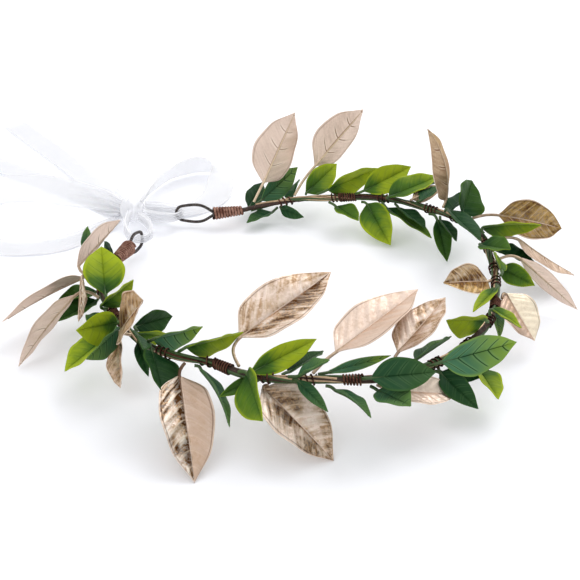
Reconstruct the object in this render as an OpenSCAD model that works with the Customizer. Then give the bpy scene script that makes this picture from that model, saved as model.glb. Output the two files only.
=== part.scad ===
// Woodland fairy crown: an open ring of taped wire with gold and green leaves,
// a wire eye at each end, and a ribbon through both eyes tied in a bow.
// It lies on a flat surface, front towards -Y, with the bow at the back left.

/* [Stem] */
// Thickness of the taped stem
stem_d = 3.8; // [3:0.1:5]
// Thickness of the wire of both eyes
eye_wire_d = 1.8; // [1.2:0.1:2.4]
// Length of the eye at the left end
left_eye_len = 17; // [12:1:22]
// Length of the eye at the right end
right_eye_len = 19; // [12:1:24]
// Clear width inside both eyes
eye_gap = 7; // [5:0.5:9]

/* [Leaves] */
// Thickness of a leaf along its midrib
leaf_t = 0.9; // [0.6:0.1:1.4]
// Thickness of a leaf stalk
stalk_d = 1.5; // [1:0.1:2]
// How far the two halves of a gold leaf fold up, in degrees
gold_fold = 16; // [5:1:30]
// How far the two halves of a green leaf fold up, in degrees
green_fold = 20; // [5:1:30]

/* [Ribbon] */
// Width of the ribbon
ribbon_w = 15; // [10:1:20]
// Thickness of the ribbon
ribbon_t = 1; // [1:0.1:2]

/* [Hidden] */
// Clear space between pieces that are bound together
gap = 0.2;
// Puts the middle of the whole piece over the origin, with its lowest point at z = 0
CENTRE = [39, -53.5, -0.3];

// The ring's centre line from its left end, round the front, to its right end: x, y, z.
STEM = [
    [-93, 32, 14], [-96, 12, 17], [-95, -9, 20], [-89, -29, 23], [-82, -45, 25], [-75, -58, 26],
    [-66, -70, 27], [-54, -78, 28], [-41, -82, 28], [-27, -91, 28], [-10, -95, 28], [8, -95, 28],
    [24, -95, 28], [38, -90, 27], [51, -81, 26], [63, -69, 25], [74, -55, 25], [81, -40, 25],
    [85, -24, 24], [87, -8, 24], [88, 8, 23], [88, 24, 22], [87, 39, 22], [82, 52, 22],
    [75, 62, 22], [66, 71, 21], [55, 81, 20], [43, 89, 19], [29, 95, 17], [14, 98, 15],
    [-3, 100, 13], [-20, 98, 11], [-34, 95, 9]
];

// Columns of a leaf row. The blade begins beside the stem, at a station measured along it.
STATION = 0; // where the blade begins, in mm along the stem from its left end
ROOT = 1;    // how far before that the stalk leaves the stem
OUT = 2;     // how far outside the stem's centre line the blade begins
RISE = 3;    // how far above it
HEADING = 4; // 0 on along the stem, 90 straight outward, -90 straight inward
PITCH = 5;   // how steeply the blade climbs
ROLL = 6;    // how far it is turned about its midrib
LONG = 7;    // length of the blade
WIDE = 8;    // width of the blade
BEND = 9;    // how far it curls, towards its face when positive

// One row for each gold leaf.
GOLD = [
    [503, -6, 5, 12, 135, 45, 121, 41, 26, 0],
    [477, -10, 17, 13, 138, 37, 98, 39, 25, 0],
    [404, 1, 4, 6, -72, 72, -122, 45, 18, 45],
    [420, -2, -2, 4, 97, 2, 138, 22, 8, 0],
    [379, -8, 16, 4, 98, -20, -54, 37, 21, -20],
    [364, 0, 17, 0, 115, -27, -158, 32, 18, -10],
    [345, 0, 15, 0, 127, -28, 113, 35, 9, 0],
    [318, -2, -4, 2, -130, 16, 33, 28, 17, -10],
    [312, 4, 5, -1, 139, -34, -7, 25, 19, 0],
    [142, -9, -18, 5, -75, 13, -13, 52, 27, 0],
    [194, 10, -13, 6, -44, 13, 0, 48, 24, 0],
    [227, 8, -10, 5, -18, 19, 4, 34, 19, 0],
    [164, -2, 2, -4, 19, -35, -11, 41, 27, -10],
    [128, 0, 9, -4, 62, -30, 10, 47, 24, -10],
    [218, 8, 2, -6, 13, -11, -18, 27, 17, 0],
    [97, 0, 7, 6, -2, 49, -61, 33, 23, 0],
    [85, 0, 3, -4, 21, -33, -65, 25, 18, 0],
    [36, 2, 9, 5, 65, -16, -41, 42, 20, -10],
    [54, 2, 15, 4, 69, -39, -78, 39, 13, -15],
    [20, 4, 13, 4, -151, 18, 72, 34, 18, 0],
    [49, 4, 9, 11, 12, -19, 80, 26, 9, 0]
];

// One group for each green sprig, with a row for each of its leaves.
GREEN = [
    [
        [4, -5, 15, 4, 173, 31, -37, 15, 6, 0],
        [8, -4, -1, 4, 151, -1, 60, 19, 6, 0]
    ],
    [
        [36, 4, 3, -3, 69, 0, 0, 19, 13, 0],
        [40, 2, 3, -6, 57, -8, 0, 22, 14, 0]
    ],
    [
        [55, -5, 0, 4, -170, 27, -5, 26, 20, 0],
        [69, 4, 4, 0, 40, 8, -14, 14, 12, 0],
        [70, 2, 5, 5, -90, 33, -120, 18, 15, 0]
    ],
    [
        [86, 3, 4, 3, 85, 7, 91, 19, 18, 0],
        [81, 4, 8, -6, 70, -16, -7, 24, 16, 0],
        [88, 1, 4, 1, 62, -11, 103, 22, 15, 0]
    ],
    [
        [88, -4, -4, 0, -115, -15, -80, 25, 12, 0],
        [91, 2, -3, -2, -83, -19, -114, 19, 10, 0]
    ],
    [
        [104, 4, 3, 5, 22, 6, 48, 14, 10, 0],
        [106, 1, 4, 3, 25, -7, -22, 23, 6, 0],
        [115, 4, 5, 2, 36, -17, 41, 23, 21, 0]
    ],
    [
        [112, 4, 0, 5, -65, 1, -121, 22, 19, 0],
        [129, 4, 1, 6, -40, 3, -122, 25, 17, 0]
    ],
    [
        [135, 3, 2, -3, 45, -25, 50, 30, 9, -30],
        [158, -4, -5, -5, 114, 5, 45, 21, 6, 0],
        [158, 4, 4, 3, 58, -11, -68, 27, 20, 0]
    ],
    [
        [160, 1, 3, 4, -56, 4, -58, 34, 11, 0],
        [174, 3, -6, 0, -55, -5, 15, 24, 12, 0]
    ],
    [
        [178, 4, 3, 4, 3, 33, 10, 15, 11, 0],
        [178, 2, 4, 2, 56, -6, -22, 22, 6, 0]
    ],
    [
        [193, 4, 3, -3, 48, -6, 30, 22, 9, -30],
        [191, 5, -4, 1, -28, -1, -51, 29, 5, 0]
    ],
    [
        [207, 3, 5, 4, -8, -6, -45, 28, 15, 0],
        [210, 3, 3, -4, 59, 2, -6, 17, 17, 0]
    ],
    [
        [236, 2, 8, 6, 12, -1, -80, 36, 18, 0],
        [244, 3, 1, -6, 45, -8, -56, 16, 7, 0]
    ],
    [
        [233, 5, -5, 2, -9, 0, 37, 24, 12, 0],
        [240, 4, 3, -4, 94, -15, -32, 23, 11, 0]
    ],
    [
        [260, -2, 7, -8, 117, -15, 25, 19, 15, 0],
        [286, 2, 1, 5, 88, -27, 10, 15, 10, 0],
        [274, -4, 1, 6, -139, 12, 119, 19, 19, 0]
    ],
    [
        [309, -3, 0, 4, -154, -4, -8, 23, 7, 0],
        [315, -2, 0, -9, 174, -14, 32, 21, 7, 0],
        [328, 4, 3, 3, -10, 2, -51, 17, 9, 0]
    ],
    [
        [344, -4, 5, -4, 130, -7, -50, 19, 11, 0],
        [354, -4, -4, 4, 140, 15, -10, 19, 14, 0]
    ],
    [
        [362, 4, 7, -4, 92, -20, -8, 19, 13, 0],
        [370, 2, 0, 5, 108, 4, -124, 29, 16, 15]
    ],
    [
        [395, -4, -4, 5, -163, -4, 17, 32, 14, 0],
        [389, -1, 0, 4, 54, 26, -58, 22, 22, 0]
    ],
    [
        [401, 0, 4, 0, 80, 7, 25, 24, 15, 0],
        [400, -2, -4, -2, -168, -24, 24, 15, 10, 0],
        [402, -7, -4, -3, -150, -45, 2, 22, 10, 0]
    ],
    [
        [416, -2, -1, 4, 94, 7, 15, 18, 11, 0],
        [429, -6, 3, 3, 108, 2, 6, 25, 13, 0],
        [426, -5, -5, -2, -164, -9, 16, 20, 12, 0]
    ],
    [
        [433, -2, -5, 4, 122, 10, -9, 31, 16, 0],
        [434, -5, -5, -3, -164, -10, 11, 32, 14, 0]
    ],
    [
        [447, -4, -3, -3, -137, -26, -35, 28, 17, 0],
        [449, -5, -2, 5, 129, 13, -53, 30, 15, 0]
    ],
    [
        [464, -5, -5, -3, -140, -6, 1, 17, 13, 0],
        [469, -6, 0, 5, 141, 10, -99, 31, 16, 0]
    ],
    [
        [481, 0, 0, 4, 123, 14, -50, 28, 14, 0],
        [489, -3, 4, 0, 106, 2, 46, 20, 12, 0],
        [495, 0, 1, -4, -129, 1, -79, 17, 7, 0]
    ],
    [
        [504, -4, 5, 1, 141, 16, -65, 31, 13, 0],
        [511, 0, 6, -2, 118, 7, -11, 25, 10, 0],
        [500, 3, 0, -5, -30, -3, -4, 17, 10, 0]
    ]
];

// Points of a smooth curve through the table's points.
function spline_point(p0, p1, p2, p3, t) =
    0.5 * (2 * p1 + (p2 - p0) * t + (2 * p0 - 5 * p1 + 4 * p2 - p3) * t * t
    + (3 * p1 - p0 - 3 * p2 + p3) * t * t * t);

function smooth_path(points, steps) =
    let (last = len(points) - 1)
    [
        for (i = [0 : last - 1])
            for (k = [0 : steps - 1])
                spline_point(points[max(i - 1, 0)], points[i], points[i + 1],
                    points[min(i + 2, last)], k / steps),
        points[last]
    ];

function running_length(points, i = 0, sum = [0]) =
    i >= len(points) - 1 ? sum
    : running_length(points, i + 1,
        concat(sum, [sum[i] + norm(points[i + 1] - points[i])]));

function unit(v) = v / norm(v);

stem_path = smooth_path(STEM, 2);
stem_at = running_length(stem_path);
stem_len = stem_at[len(stem_at) - 1];

// A point of the stem's centre line, and its direction there, at a station in mm.
function stem_point(s) = [for (axis = [0 : 2])
    lookup(s, [for (i = [0 : len(stem_path) - 1]) [stem_at[i], stem_path[i][axis]]])];

function stem_way(s) =
    unit(stem_point(min(s + 2, stem_len)) - stem_point(max(s - 2, 0)));

// Level directions at a station: along the stem, and outward from the ring.
function level_way(s) = let (w = stem_way(s)) unit([w[0], w[1], 0]);
function outward(s) = let (w = level_way(s)) [w[1], -w[0], 0];

// Side of a path for a ring that isn't turned.
function level_side(way) = unit(cross(way, [0, 0, 1]));

// A closed solid through rings of equal size. Each ring is a list of points, anticlockwise
// when seen from the end of the path.
function ring_faces(rings, sides) = concat(
    [[for (k = [sides - 1 : -1 : 0]) k]],
    [for (i = [0 : rings - 2]) for (k = [0 : sides - 1]) for (half = [0, 1])
        let (a = i * sides + k, b = i * sides + (k + 1) % sides)
        half == 0 ? [a, b, b + sides] : [a, b + sides, a + sides]],
    [[for (k = [0 : sides - 1]) (rings - 1) * sides + k]]
);

module tube(path, d, sides) {
    last = len(path) - 1;
    rings = [for (i = [0 : last])
        let (
            way = unit(path[min(i + 1, last)] - path[max(i - 1, 0)]),
            side = level_side(way),
            up = cross(side, way)
        )
        for (k = [0 : sides - 1])
            path[i] + d / 2 * (cos(360 * k / sides) * side + sin(360 * k / sides) * up)];
    polyhedron(rings, ring_faces(last + 1, sides));
}

// Half the width of a leaf, as a share of its greatest, from base 0 to tip 1.
function leaf_outline(t) = pow(sin(180 * pow(t, 0.8)), 0.9) * (1 - 0.25 * t * t);

// Direction of a leaf's midrib, and the directions across it and out of its face.
function leaf_way(row) =
    cos(row[PITCH]) * (cos(row[HEADING]) * level_way(row[STATION])
    + sin(row[HEADING]) * outward(row[STATION])) + [0, 0, sin(row[PITCH])];
function leaf_side(row) = let (side = level_side(leaf_way(row)), up = cross(side, leaf_way(row)))
    cos(row[ROLL]) * side + sin(row[ROLL]) * up;
function leaf_base(row) =
    stem_point(row[STATION]) + row[OUT] * outward(row[STATION]) + [0, 0, row[RISE]];

// Where the stalk begins, against the stem on the side that faces the blade.
function stalk_root(row) =
    let (
        s = min(max(row[STATION] - row[ROOT], 2), stem_len - 2),
        away = leaf_base(row) - stem_point(s),
        way = stem_way(s),
        off = unit(away - (away * way) * way)
    )
    stem_point(s) + (stem_d / 2 + gap + stalk_d / 2) * off;

// Centre line of the stalk: it leaves the stem and comes into line with the blade.
function stalk_point(row, t) =
    let (
        root = stalk_root(row),
        base = leaf_base(row),
        bow = base - norm(base - root) * 0.5 * leaf_way(row)
    )
    (1 - t) * (1 - t) * root + 2 * t * (1 - t) * bow + t * t * base;

// Centre line of the blade, a gentle arc, and the directions along it and out of its face.
function bend_of(row) = row[BEND] == 0 ? 0.1 : row[BEND];
function blade_way(row, face, t) =
    let (turn = bend_of(row) * (t - 0.5)) cos(turn) * leaf_way(row) + sin(turn) * face;
function blade_point(row, face, t) =
    let (
        bend = bend_of(row),
        from = -bend / 2,
        to = bend * (t - 0.5),
        arm = row[LONG] * 180 / (PI * bend)
    )
    leaf_base(row) + arm * ((sin(to) - sin(from)) * leaf_way(row) - (cos(to) - cos(from)) * face);

// Where a blade's upper and lower skin lie, as shares of its thickness.
top_at_midrib = 0.4;
top_half_way = 0.7;
under_at_midrib = 0.6;

// Six points round the stalk, and six round the blade: edge, half way, midrib, half way, edge, back.
function stalk_ring(centre, side, up) = [
    for (angle = [180, 135, 90, 45, 0, 270])
        centre + stalk_d / 2 * (cos(angle) * side + sin(angle) * up)
];
function blade_ring(centre, side, up, w, fold) = [
    centre - w * side + w * tan(fold) * up,
    centre - w / 2 * side + (w / 2 * tan(fold) + leaf_t * top_half_way) * up,
    centre + leaf_t * top_at_midrib * up,
    centre + w / 2 * side + (w / 2 * tan(fold) + leaf_t * top_half_way) * up,
    centre + w * side + w * tan(fold) * up,
    centre - leaf_t * under_at_midrib * up
];

// Cross-sections of a leaf: along its stalk as shares of it, and how many along a blade.
STALK_CUTS = [0, 0.5, 0.92];
gold_cuts = 7;
green_cuts = 6;

function leaf_points(row, fold, cuts) =
    let (
        side = leaf_side(row),
        face = cross(side, leaf_way(row)),
        step = 0.05
    )
    concat(
        [for (t = STALK_CUTS)
            let (
                way = unit(stalk_point(row, min(t + step, 1)) - stalk_point(row, max(t - step, 0))),
                across = unit(side - (side * way) * way)
            )
            each stalk_ring(stalk_point(row, t), across, cross(across, way))],
        [for (k = [1 : cuts])
            let (
                t = (k - 0.6) / cuts,
                way = blade_way(row, face, t)
            )
            each blade_ring(blade_point(row, face, t), side, cross(side, way),
                row[WIDE] / 2 * leaf_outline(t), fold)],
        [blade_point(row, face, 1)]
    );

// Faces of a solid of six-sided rings that ends in one point, with its points from a first number on.
function leaf_faces(rings, first) = concat(
    [[for (k = [0 : 5]) first + k]],
    [for (i = [0 : rings - 2]) for (k = [0 : 5]) for (half = [0, 1])
        let (a = first + i * 6 + k, b = first + i * 6 + (k + 1) % 6)
        half == 0 ? [a, b + 6, b] : [a, a + 6, b + 6]],
    [for (k = [0 : 5])
        [first + (rings - 1) * 6 + k, first + rings * 6, first + (rings - 1) * 6 + (k + 1) % 6]]
);

module gold_leaf(row) {
    color([0.80, 0.66, 0.55])
        polyhedron(leaf_points(row, gold_fold, gold_cuts), leaf_faces(len(STALK_CUTS) + gold_cuts, 0));
}

module green_sprig(rows) {
    rings = len(STALK_CUTS) + green_cuts;
    color([0.20, 0.42, 0.16])
        polyhedron(
            [for (row = rows) each leaf_points(row, green_fold, green_cuts)],
            [for (k = [0 : len(rows) - 1]) each leaf_faces(rings, k * (rings * 6 + 1))]
        );
}

module stem() {
    color([0.30, 0.19, 0.13]) tube(stem_path, stem_d, 8);
}

// A wire eye: out along one leg, round the far end and back, standing on edge. Its legs
// come together at the foot and have spread a third of the way along.
legs_apart = 0.5; // between each leg and the middle line, at the foot
function eye_path(start, way, long) =
    let (
        half = (eye_gap + eye_wire_d) / 2,
        foot_half = eye_wire_d / 2 + legs_apart,
        up = [0, 0, 1],
        straight = long - half,
        spread = start + straight / 3 * way
    )
    concat(
        [start + foot_half * up, spread + half * up],
        [for (a = [90 : -30 : -90]) start + (straight + half * cos(a)) * way + half * sin(a) * up],
        [spread - half * up, start - foot_half * up]
    );

module eye(start, way, long) {
    path = eye_path(start, way, long);
    side = level_side(way);
    last = len(path) - 1;
    sides = 6;
    rings = [for (i = [0 : last])
        let (along = unit(path[min(i + 1, last)] - path[max(i - 1, 0)]), up = cross(side, along))
        for (k = [0 : sides - 1])
            path[i] + eye_wire_d / 2 * (cos(360 * k / sides) * side + sin(360 * k / sides) * up)];
    color([0.24, 0.19, 0.17]) polyhedron(rings, ring_faces(last + 1, sides));
}

// Wound cord round the foot of an eye: a slightly tapered solid with a rib for each turn.
module binding(start, end, widths) {
    turns = 6;
    rib = 0.8;
    way = unit(end - start);
    long = norm(end - start);
    side = level_side(way);
    up = cross(side, way);
    sides = 8;
    steps = turns * 2;
    rings = [for (i = [0 : steps])
        let (d = widths[0] + (widths[1] - widths[0]) * i / steps - (i % 2 == 0 ? rib : 0))
        for (k = [0 : sides - 1])
            start + long * i / steps * way
            + d / 2 * (cos(360 * k / sides) * side + sin(360 * k / sides) * up)];
    color([0.42, 0.24, 0.17]) polyhedron(rings, ring_faces(steps + 1, sides));
}

// Tape sleeves round the stem, each wound a little thicker in its middle.
TAPE_STATIONS = [74, 145, 200, 300, 459];
tape_len = 7;
tape_t = 0.8;

module tape_sleeve(s) {
    sides = 8;
    inner = stem_d / 2 + gap;
    // outline of the sleeve's wall: how far along it, and how far out
    wall = [[-tape_len / 2, inner], [tape_len / 2, inner],
        [tape_len / 4, inner + tape_t], [-tape_len / 4, inner + tape_t]];
    n = len(wall);
    way = stem_way(s);
    side = level_side(way);
    up = cross(side, way);
    points = [for (k = [0 : sides - 1]) for (p = wall)
        stem_point(s) + p[0] * way
        + p[1] * (cos(360 * k / sides) * side + sin(360 * k / sides) * up)];
    faces = [for (k = [0 : sides - 1]) for (i = [0 : n - 1]) for (half = [0, 1])
        let (
            a = k * n + i,
            b = k * n + (i + 1) % n,
            c = ((k + 1) % sides) * n + (i + 1) % n,
            d = ((k + 1) % sides) * n + i
        )
        half == 0 ? [a, b, c] : [a, c, d]];
    polyhedron(points, faces);
}

module tape_bands() {
    color([0.36, 0.21, 0.15]) for (s = TAPE_STATIONS) tape_sleeve(s);
}

// Columns of a ribbon row: its place, how wide it lies there as a share of its width, and
// how far it is turned on edge.
SPOT = 0;
SPAN = 1;
TURN = 2;

// Round the far end of the left eye, and back to the knot.
TIE_LEFT = [
    [[-93, 93, 7.5], 0.35, 90], [[-94, 80, 8.5], 0.35, 90], [[-92, 70, 9.2], 0.35, 90],
    [[-88.8, 63, 9.8], 0.3, 90], [[-84.4, 60.8, 9.9], 0.3, 90], [[-80.2, 64, 9.8], 0.3, 90],
    [[-79.8, 72, 9.4], 0.35, 90], [[-83, 83, 8.3], 0.35, 90], [[-88, 92, 7], 0.35, 90]
];
// Round the far end of the right eye, and back to the knot.
TIE_RIGHT = [
    [[-85.7, 101.6, 8.5], 0.35, 90], [[-79, 101, 8.3], 0.35, 90], [[-73, 99.5, 8.2], 0.35, 90],
    [[-67.5, 97, 8.2], 0.3, 90], [[-65.5, 93.4, 8.2], 0.3, 90], [[-68, 89.8, 8.2], 0.3, 90],
    [[-73, 88.6, 8], 0.35, 90], [[-79, 90.5, 7.6], 0.35, 90], [[-85.8, 96, 7], 0.35, 90]
];
BOW_RIGHT = [
    [[-89.5, 106.2, 6.5], 0.45, 60], [[-86, 117, 8], 0.8, 60], [[-81, 132, 8], 1, 60],
    [[-73, 146, 8], 1, 60], [[-60, 155, 8], 1, 60], [[-48, 151, 7], 1, 45],
    [[-47, 139, 4], 1, 20], [[-50, 125, 2], 1, 5], [[-59, 114, 1], 1, 0],
    [[-69, 109, 1.5], 0.85, 0], [[-79, 106, 3], 0.6, 0], [[-85, 104.5, 4], 0.45, 0]
];
BOW_LEFT = [
    [[-98.5, 104.5, 7], 0.45, 60], [[-110, 110, 8], 0.75, 60], [[-130, 119, 8], 1, 60],
    [[-152, 124, 8], 1, 60], [[-172, 119, 7.5], 1, 55], [[-184, 104, 6], 1, 40],
    [[-182, 86, 3], 1, 15], [[-168, 73, 1], 1, 0], [[-148, 67, 1], 1, 0],
    [[-128, 72, 1], 1, 0], [[-112, 84, 2], 0.75, 0], [[-100, 95, 3.5], 0.45, 0]
];
TAIL_LONG = [
    [[-94.5, 106.3, 4.6], 0.45, 0], [[-103, 118, 3.4], 0.75, 0], [[-114, 136, 2.8], 1, 0],
    [[-129, 160, 1.6], 1, 0], [[-148, 188, 1], 1, 0], [[-164, 210, 1], 1, 0], [[-178, 230, 1], 1, 0]
];
TAIL_SHORT = [
    [[-98.4, 104.4, 3], 0.45, 0], [[-110, 113.5, 1], 0.6, 0], [[-128, 133, 1], 0.85, 0],
    [[-145, 147, 1], 1, 0], [[-165, 161, 1], 1, 0], [[-185, 174, 1], 1, 0], [[-205, 188, 1], 1, 0]
];

module ribbon(rows) {
    steps = 2;
    path = smooth_path([for (r = rows) r[SPOT]], steps);
    spans = ribbon_w * smooth_path([for (r = rows) r[SPAN]], steps);
    turns = smooth_path([for (r = rows) r[TURN]], steps);
    last = len(path) - 1;
    points = [for (i = [0 : last])
        let (
            way = unit(path[min(i + 1, last)] - path[max(i - 1, 0)]),
            side = level_side(way),
            across = cos(turns[i]) * side + sin(turns[i]) * cross(side, way),
            out = cross(across, way)
        )
        each [
            path[i] - spans[i] / 2 * across - ribbon_t / 2 * out,
            path[i] + spans[i] / 2 * across - ribbon_t / 2 * out,
            path[i] + spans[i] / 2 * across + ribbon_t / 2 * out,
            path[i] - spans[i] / 2 * across + ribbon_t / 2 * out
        ]];
    color([0.95, 0.95, 0.97]) polyhedron(points, ring_faces(last + 1, 4));
}

// The knot: a plump turn of ribbon between the loops and the tails.
KNOT = [[-87, 99, 6.8], [-89.5, 99.5, 7], [-92.5, 100, 7], [-95.5, 100.5, 7], [-98, 101, 6.8]];
KNOT_WIDTHS = [8, 12, 13, 12, 8];

module ribbon_knot() {
    sides = 8;
    last = len(KNOT) - 1;
    points = [for (i = [0 : last])
        let (
            way = unit(KNOT[min(i + 1, last)] - KNOT[max(i - 1, 0)]),
            side = level_side(way),
            up = cross(side, way)
        )
        for (k = [0 : sides - 1])
            KNOT[i] + KNOT_WIDTHS[i] / 2 * (cos(360 * k / sides) * side + sin(360 * k / sides) * up)];
    color([0.93, 0.93, 0.95]) polyhedron(points, ring_faces(last + 1, sides));
}

// Each binding's two ends and its thickness there, and the way its eye points.
left_binding_foot = [-92.8, 32.6, 14];
left_binding_end = [-88.5, 47, 12.4];
left_binding_d = [5.3, 8.3];
left_eye_way = unit([0.27, 0.93, -0.17]);
right_binding_foot = [-34.6, 94.9, 9];
right_binding_end = [-48.6, 93, 8.2];
right_binding_d = [4.8, 7.3];
right_eye_way = unit([-1, 0.03, 0]);
// How far past its binding each eye's wire begins
eye_start = 0.8;

function two_digits(n) = n < 10 ? str("0", n) : str(n);
gold_names = [for (i = [1 : len(GOLD)]) str("gold_leaf_", two_digits(i))];
sprig_names = [for (i = [1 : len(GREEN)]) str("green_sprig_", two_digits(i))];

module placed() {
    translate(CENTRE) children();
}

placed() stem();
placed() eye(left_binding_end + eye_start * left_eye_way, left_eye_way, left_eye_len);  // left_eye
placed() eye(right_binding_end + eye_start * right_eye_way, right_eye_way, right_eye_len);  // right_eye
placed() binding(left_binding_foot, left_binding_end, left_binding_d);  // left_binding
placed() binding(right_binding_foot, right_binding_end, right_binding_d);  // right_binding
placed() tape_bands();
for (i = [0 : len(GOLD) - 1])
    placed() gold_leaf(GOLD[i]);
for (i = [0 : len(GREEN) - 1])
    placed() green_sprig(GREEN[i]);
placed() ribbon(TIE_LEFT);  // tie_left
placed() ribbon(TIE_RIGHT);  // tie_right
placed() ribbon_knot();
placed() ribbon(BOW_LEFT);  // bow_loop_left
placed() ribbon(BOW_RIGHT);  // bow_loop_right
placed() ribbon(TAIL_LONG);  // tail_long
placed() ribbon(TAIL_SHORT);  // tail_short
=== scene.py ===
"""Woodland leaf crown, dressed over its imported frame: metallic and green leaves, a taped
stem, wire eyes bound with cord, and a sheer ribbon tied in a bow, on a pale stage."""

import math

import bmesh
import bpy
import numpy as np
from bpy.props import FloatProperty, FloatVectorProperty, IntProperty, PointerProperty
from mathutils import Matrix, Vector


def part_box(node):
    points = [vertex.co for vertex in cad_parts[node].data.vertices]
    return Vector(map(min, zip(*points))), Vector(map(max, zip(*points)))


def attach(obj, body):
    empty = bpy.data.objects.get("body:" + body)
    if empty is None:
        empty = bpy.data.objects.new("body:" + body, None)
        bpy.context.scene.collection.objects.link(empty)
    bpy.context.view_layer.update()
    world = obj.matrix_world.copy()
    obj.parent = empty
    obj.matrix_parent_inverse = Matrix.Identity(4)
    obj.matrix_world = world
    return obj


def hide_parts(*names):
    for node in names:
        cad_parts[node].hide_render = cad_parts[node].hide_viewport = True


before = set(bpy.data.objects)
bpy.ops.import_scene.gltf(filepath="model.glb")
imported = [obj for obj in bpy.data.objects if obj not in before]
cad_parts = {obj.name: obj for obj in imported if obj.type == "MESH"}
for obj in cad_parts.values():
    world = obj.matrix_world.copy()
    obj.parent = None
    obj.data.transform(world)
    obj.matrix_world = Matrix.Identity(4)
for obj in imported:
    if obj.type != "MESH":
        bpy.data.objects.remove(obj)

bl_info = {
    "name": "Woodland leaf crown",
    "version": (1, 0, 0),
    "blender": (4, 5, 0),
    "location": "3D View > Sidebar > Leaf crown",
    "description": "Leaves, taped stem, bound eyes and sheer ribbon for the packed leaf crown",
    "category": "Object",
}

MM = 0.001
FULL_TURN = 2 * math.pi

# Sides of the solids: a leaf, the stem with its bindings and the knot, an eye, a ribbon.
LEAF_SIDES = 6
ROUND_SIDES = 8
EYE_SIDES = 6
RIBBON_SIDES = 4

# Places round a leaf's ring, and the rings of its stalk.
LEFT, RIB, RIGHT, UNDER = 0, 2, 4, 5
STALK_RINGS = 2

# What a leaf's faces and its stalk are made of, as places in its list of finishes.
FRONT, BACK, LEAF_STALK = 0, 1, 2

# Triangles lie in one plane where the cosine between them is above the first, and points of a
# solid that are nearer than the second are one.
SAME_PLANE = 0.99999
SAME_POINT = 0.002 * MM

# Points on the stem's fine line.
STEM_POINTS = 500

# The tone of each leaf of each sprig, in order of its tip's X: from -1 for a bluish leaf, through
# 0 for a deep green one, to 1 or a little more for a lime one.
SPRIG_TONES = [
    (-0.6, 0.0), (0.25, 0.15), (1.0, 0.1, 0.75), (1.0, 1.25, -0.6), (0.08, 0.85),
    (-0.2, 0.0, 0.02), (-1.0, 0.95), (0.3, -0.5, 0.6), (1.1, 0.1), (-0.3, -0.5),
    (-0.4, -0.9), (-0.5, -0.22), (0.0, -1.0), (-0.6, -0.1), (1.25, 0.9, 0.8),
    (0.85, -0.7, 0.6), (0.3, 0.6), (0.0, 0.75), (0.2, -0.12), (0.22, -0.15, 0.0),
    (-0.1, 0.0, -0.3), (0.45, 0.7), (0.95, 1.2), (0.5, 1.1), (-0.2, -0.15, 0.8),
    (-0.3, 0.0, -0.7),
]

# Each half of a metallic leaf, seen from its base towards its tip, and how dark its stalk is:
# left, right, stalk. A half is cream at -1, pale at 0, satin at 0.4, brushed with brown from 0.5
# to 0.9 and brown gold at 1.
GOLD_TONES = [
    (0.10, 0.15, 0.05), (0.35, 0.30, 0.10), (0.80, 0.92, 0.30), (0.80, 0.80, 0.50),
    (1.00, 1.00, 0.60), (0.65, 0.75, 0.50), (0.05, 0.05, 0.40), (0.98, 0.96, 0.50),
    (-0.90, 0.41, 0.70), (0.56, 0.78, 0.45), (0.20, 0.24, 0.50), (0.58, 0.54, 0.60),
    (0.66, 0.76, 0.80), (0.38, 0.90, 0.95), (-0.30, 0.15, 0.50), (0.96, 0.96, 0.50),
    (0.62, 0.60, 0.70), (0.00, 0.00, 0.50), (0.05, 0.05, 0.45), (0.35, 0.25, 0.45),
    (0.85, 0.85, 0.50),
]

# Stretches of the stem, as shares of its length, where the wires of metallic leaves run along
# it, and the share of a turn at which each begins.
GOLD_STRETCHES = [
    (0.055, 0.150, 0.10), (0.150, 0.245, 0.55), (0.220, 0.300, 0.95), (0.275, 0.375, 0.22),
    (0.400, 0.490, 0.65), (0.455, 0.560, 0.05), (0.560, 0.660, 0.25), (0.640, 0.740, 0.70),
    (0.700, 0.800, 0.05), (0.790, 0.900, 0.45), (0.860, 0.950, 0.20), (0.885, 0.985, 0.25),
    (0.900, 0.980, 0.40),
]

# What the strands of the bundle are made of, in turn, as places in the stem's list of finishes.
TAPE, GOLD_WIRE, STALK, TIE = 0, 1, 2, 3
STRAND_FINISHES = (STALK, TAPE, STALK, TIE, STALK, GOLD_WIRE, STALK)


def colour(label, words, value):
    return FloatVectorProperty(
        name=label, description=words, subtype="COLOR", size=3, min=0, max=1, default=value
    )


def length(label, words, value, top=0.1):
    return FloatProperty(
        name=label, description=words, subtype="DISTANCE", unit="LENGTH",
        min=0, max=top, precision=5, default=value,
    )


def factor(label, words, value, low, top):
    return FloatProperty(
        name=label, description=words, subtype="FACTOR", min=low, max=top, default=value
    )


def whole(label, words, value, low, top):
    return IntProperty(name=label, description=words, min=low, max=top, default=value)


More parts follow.
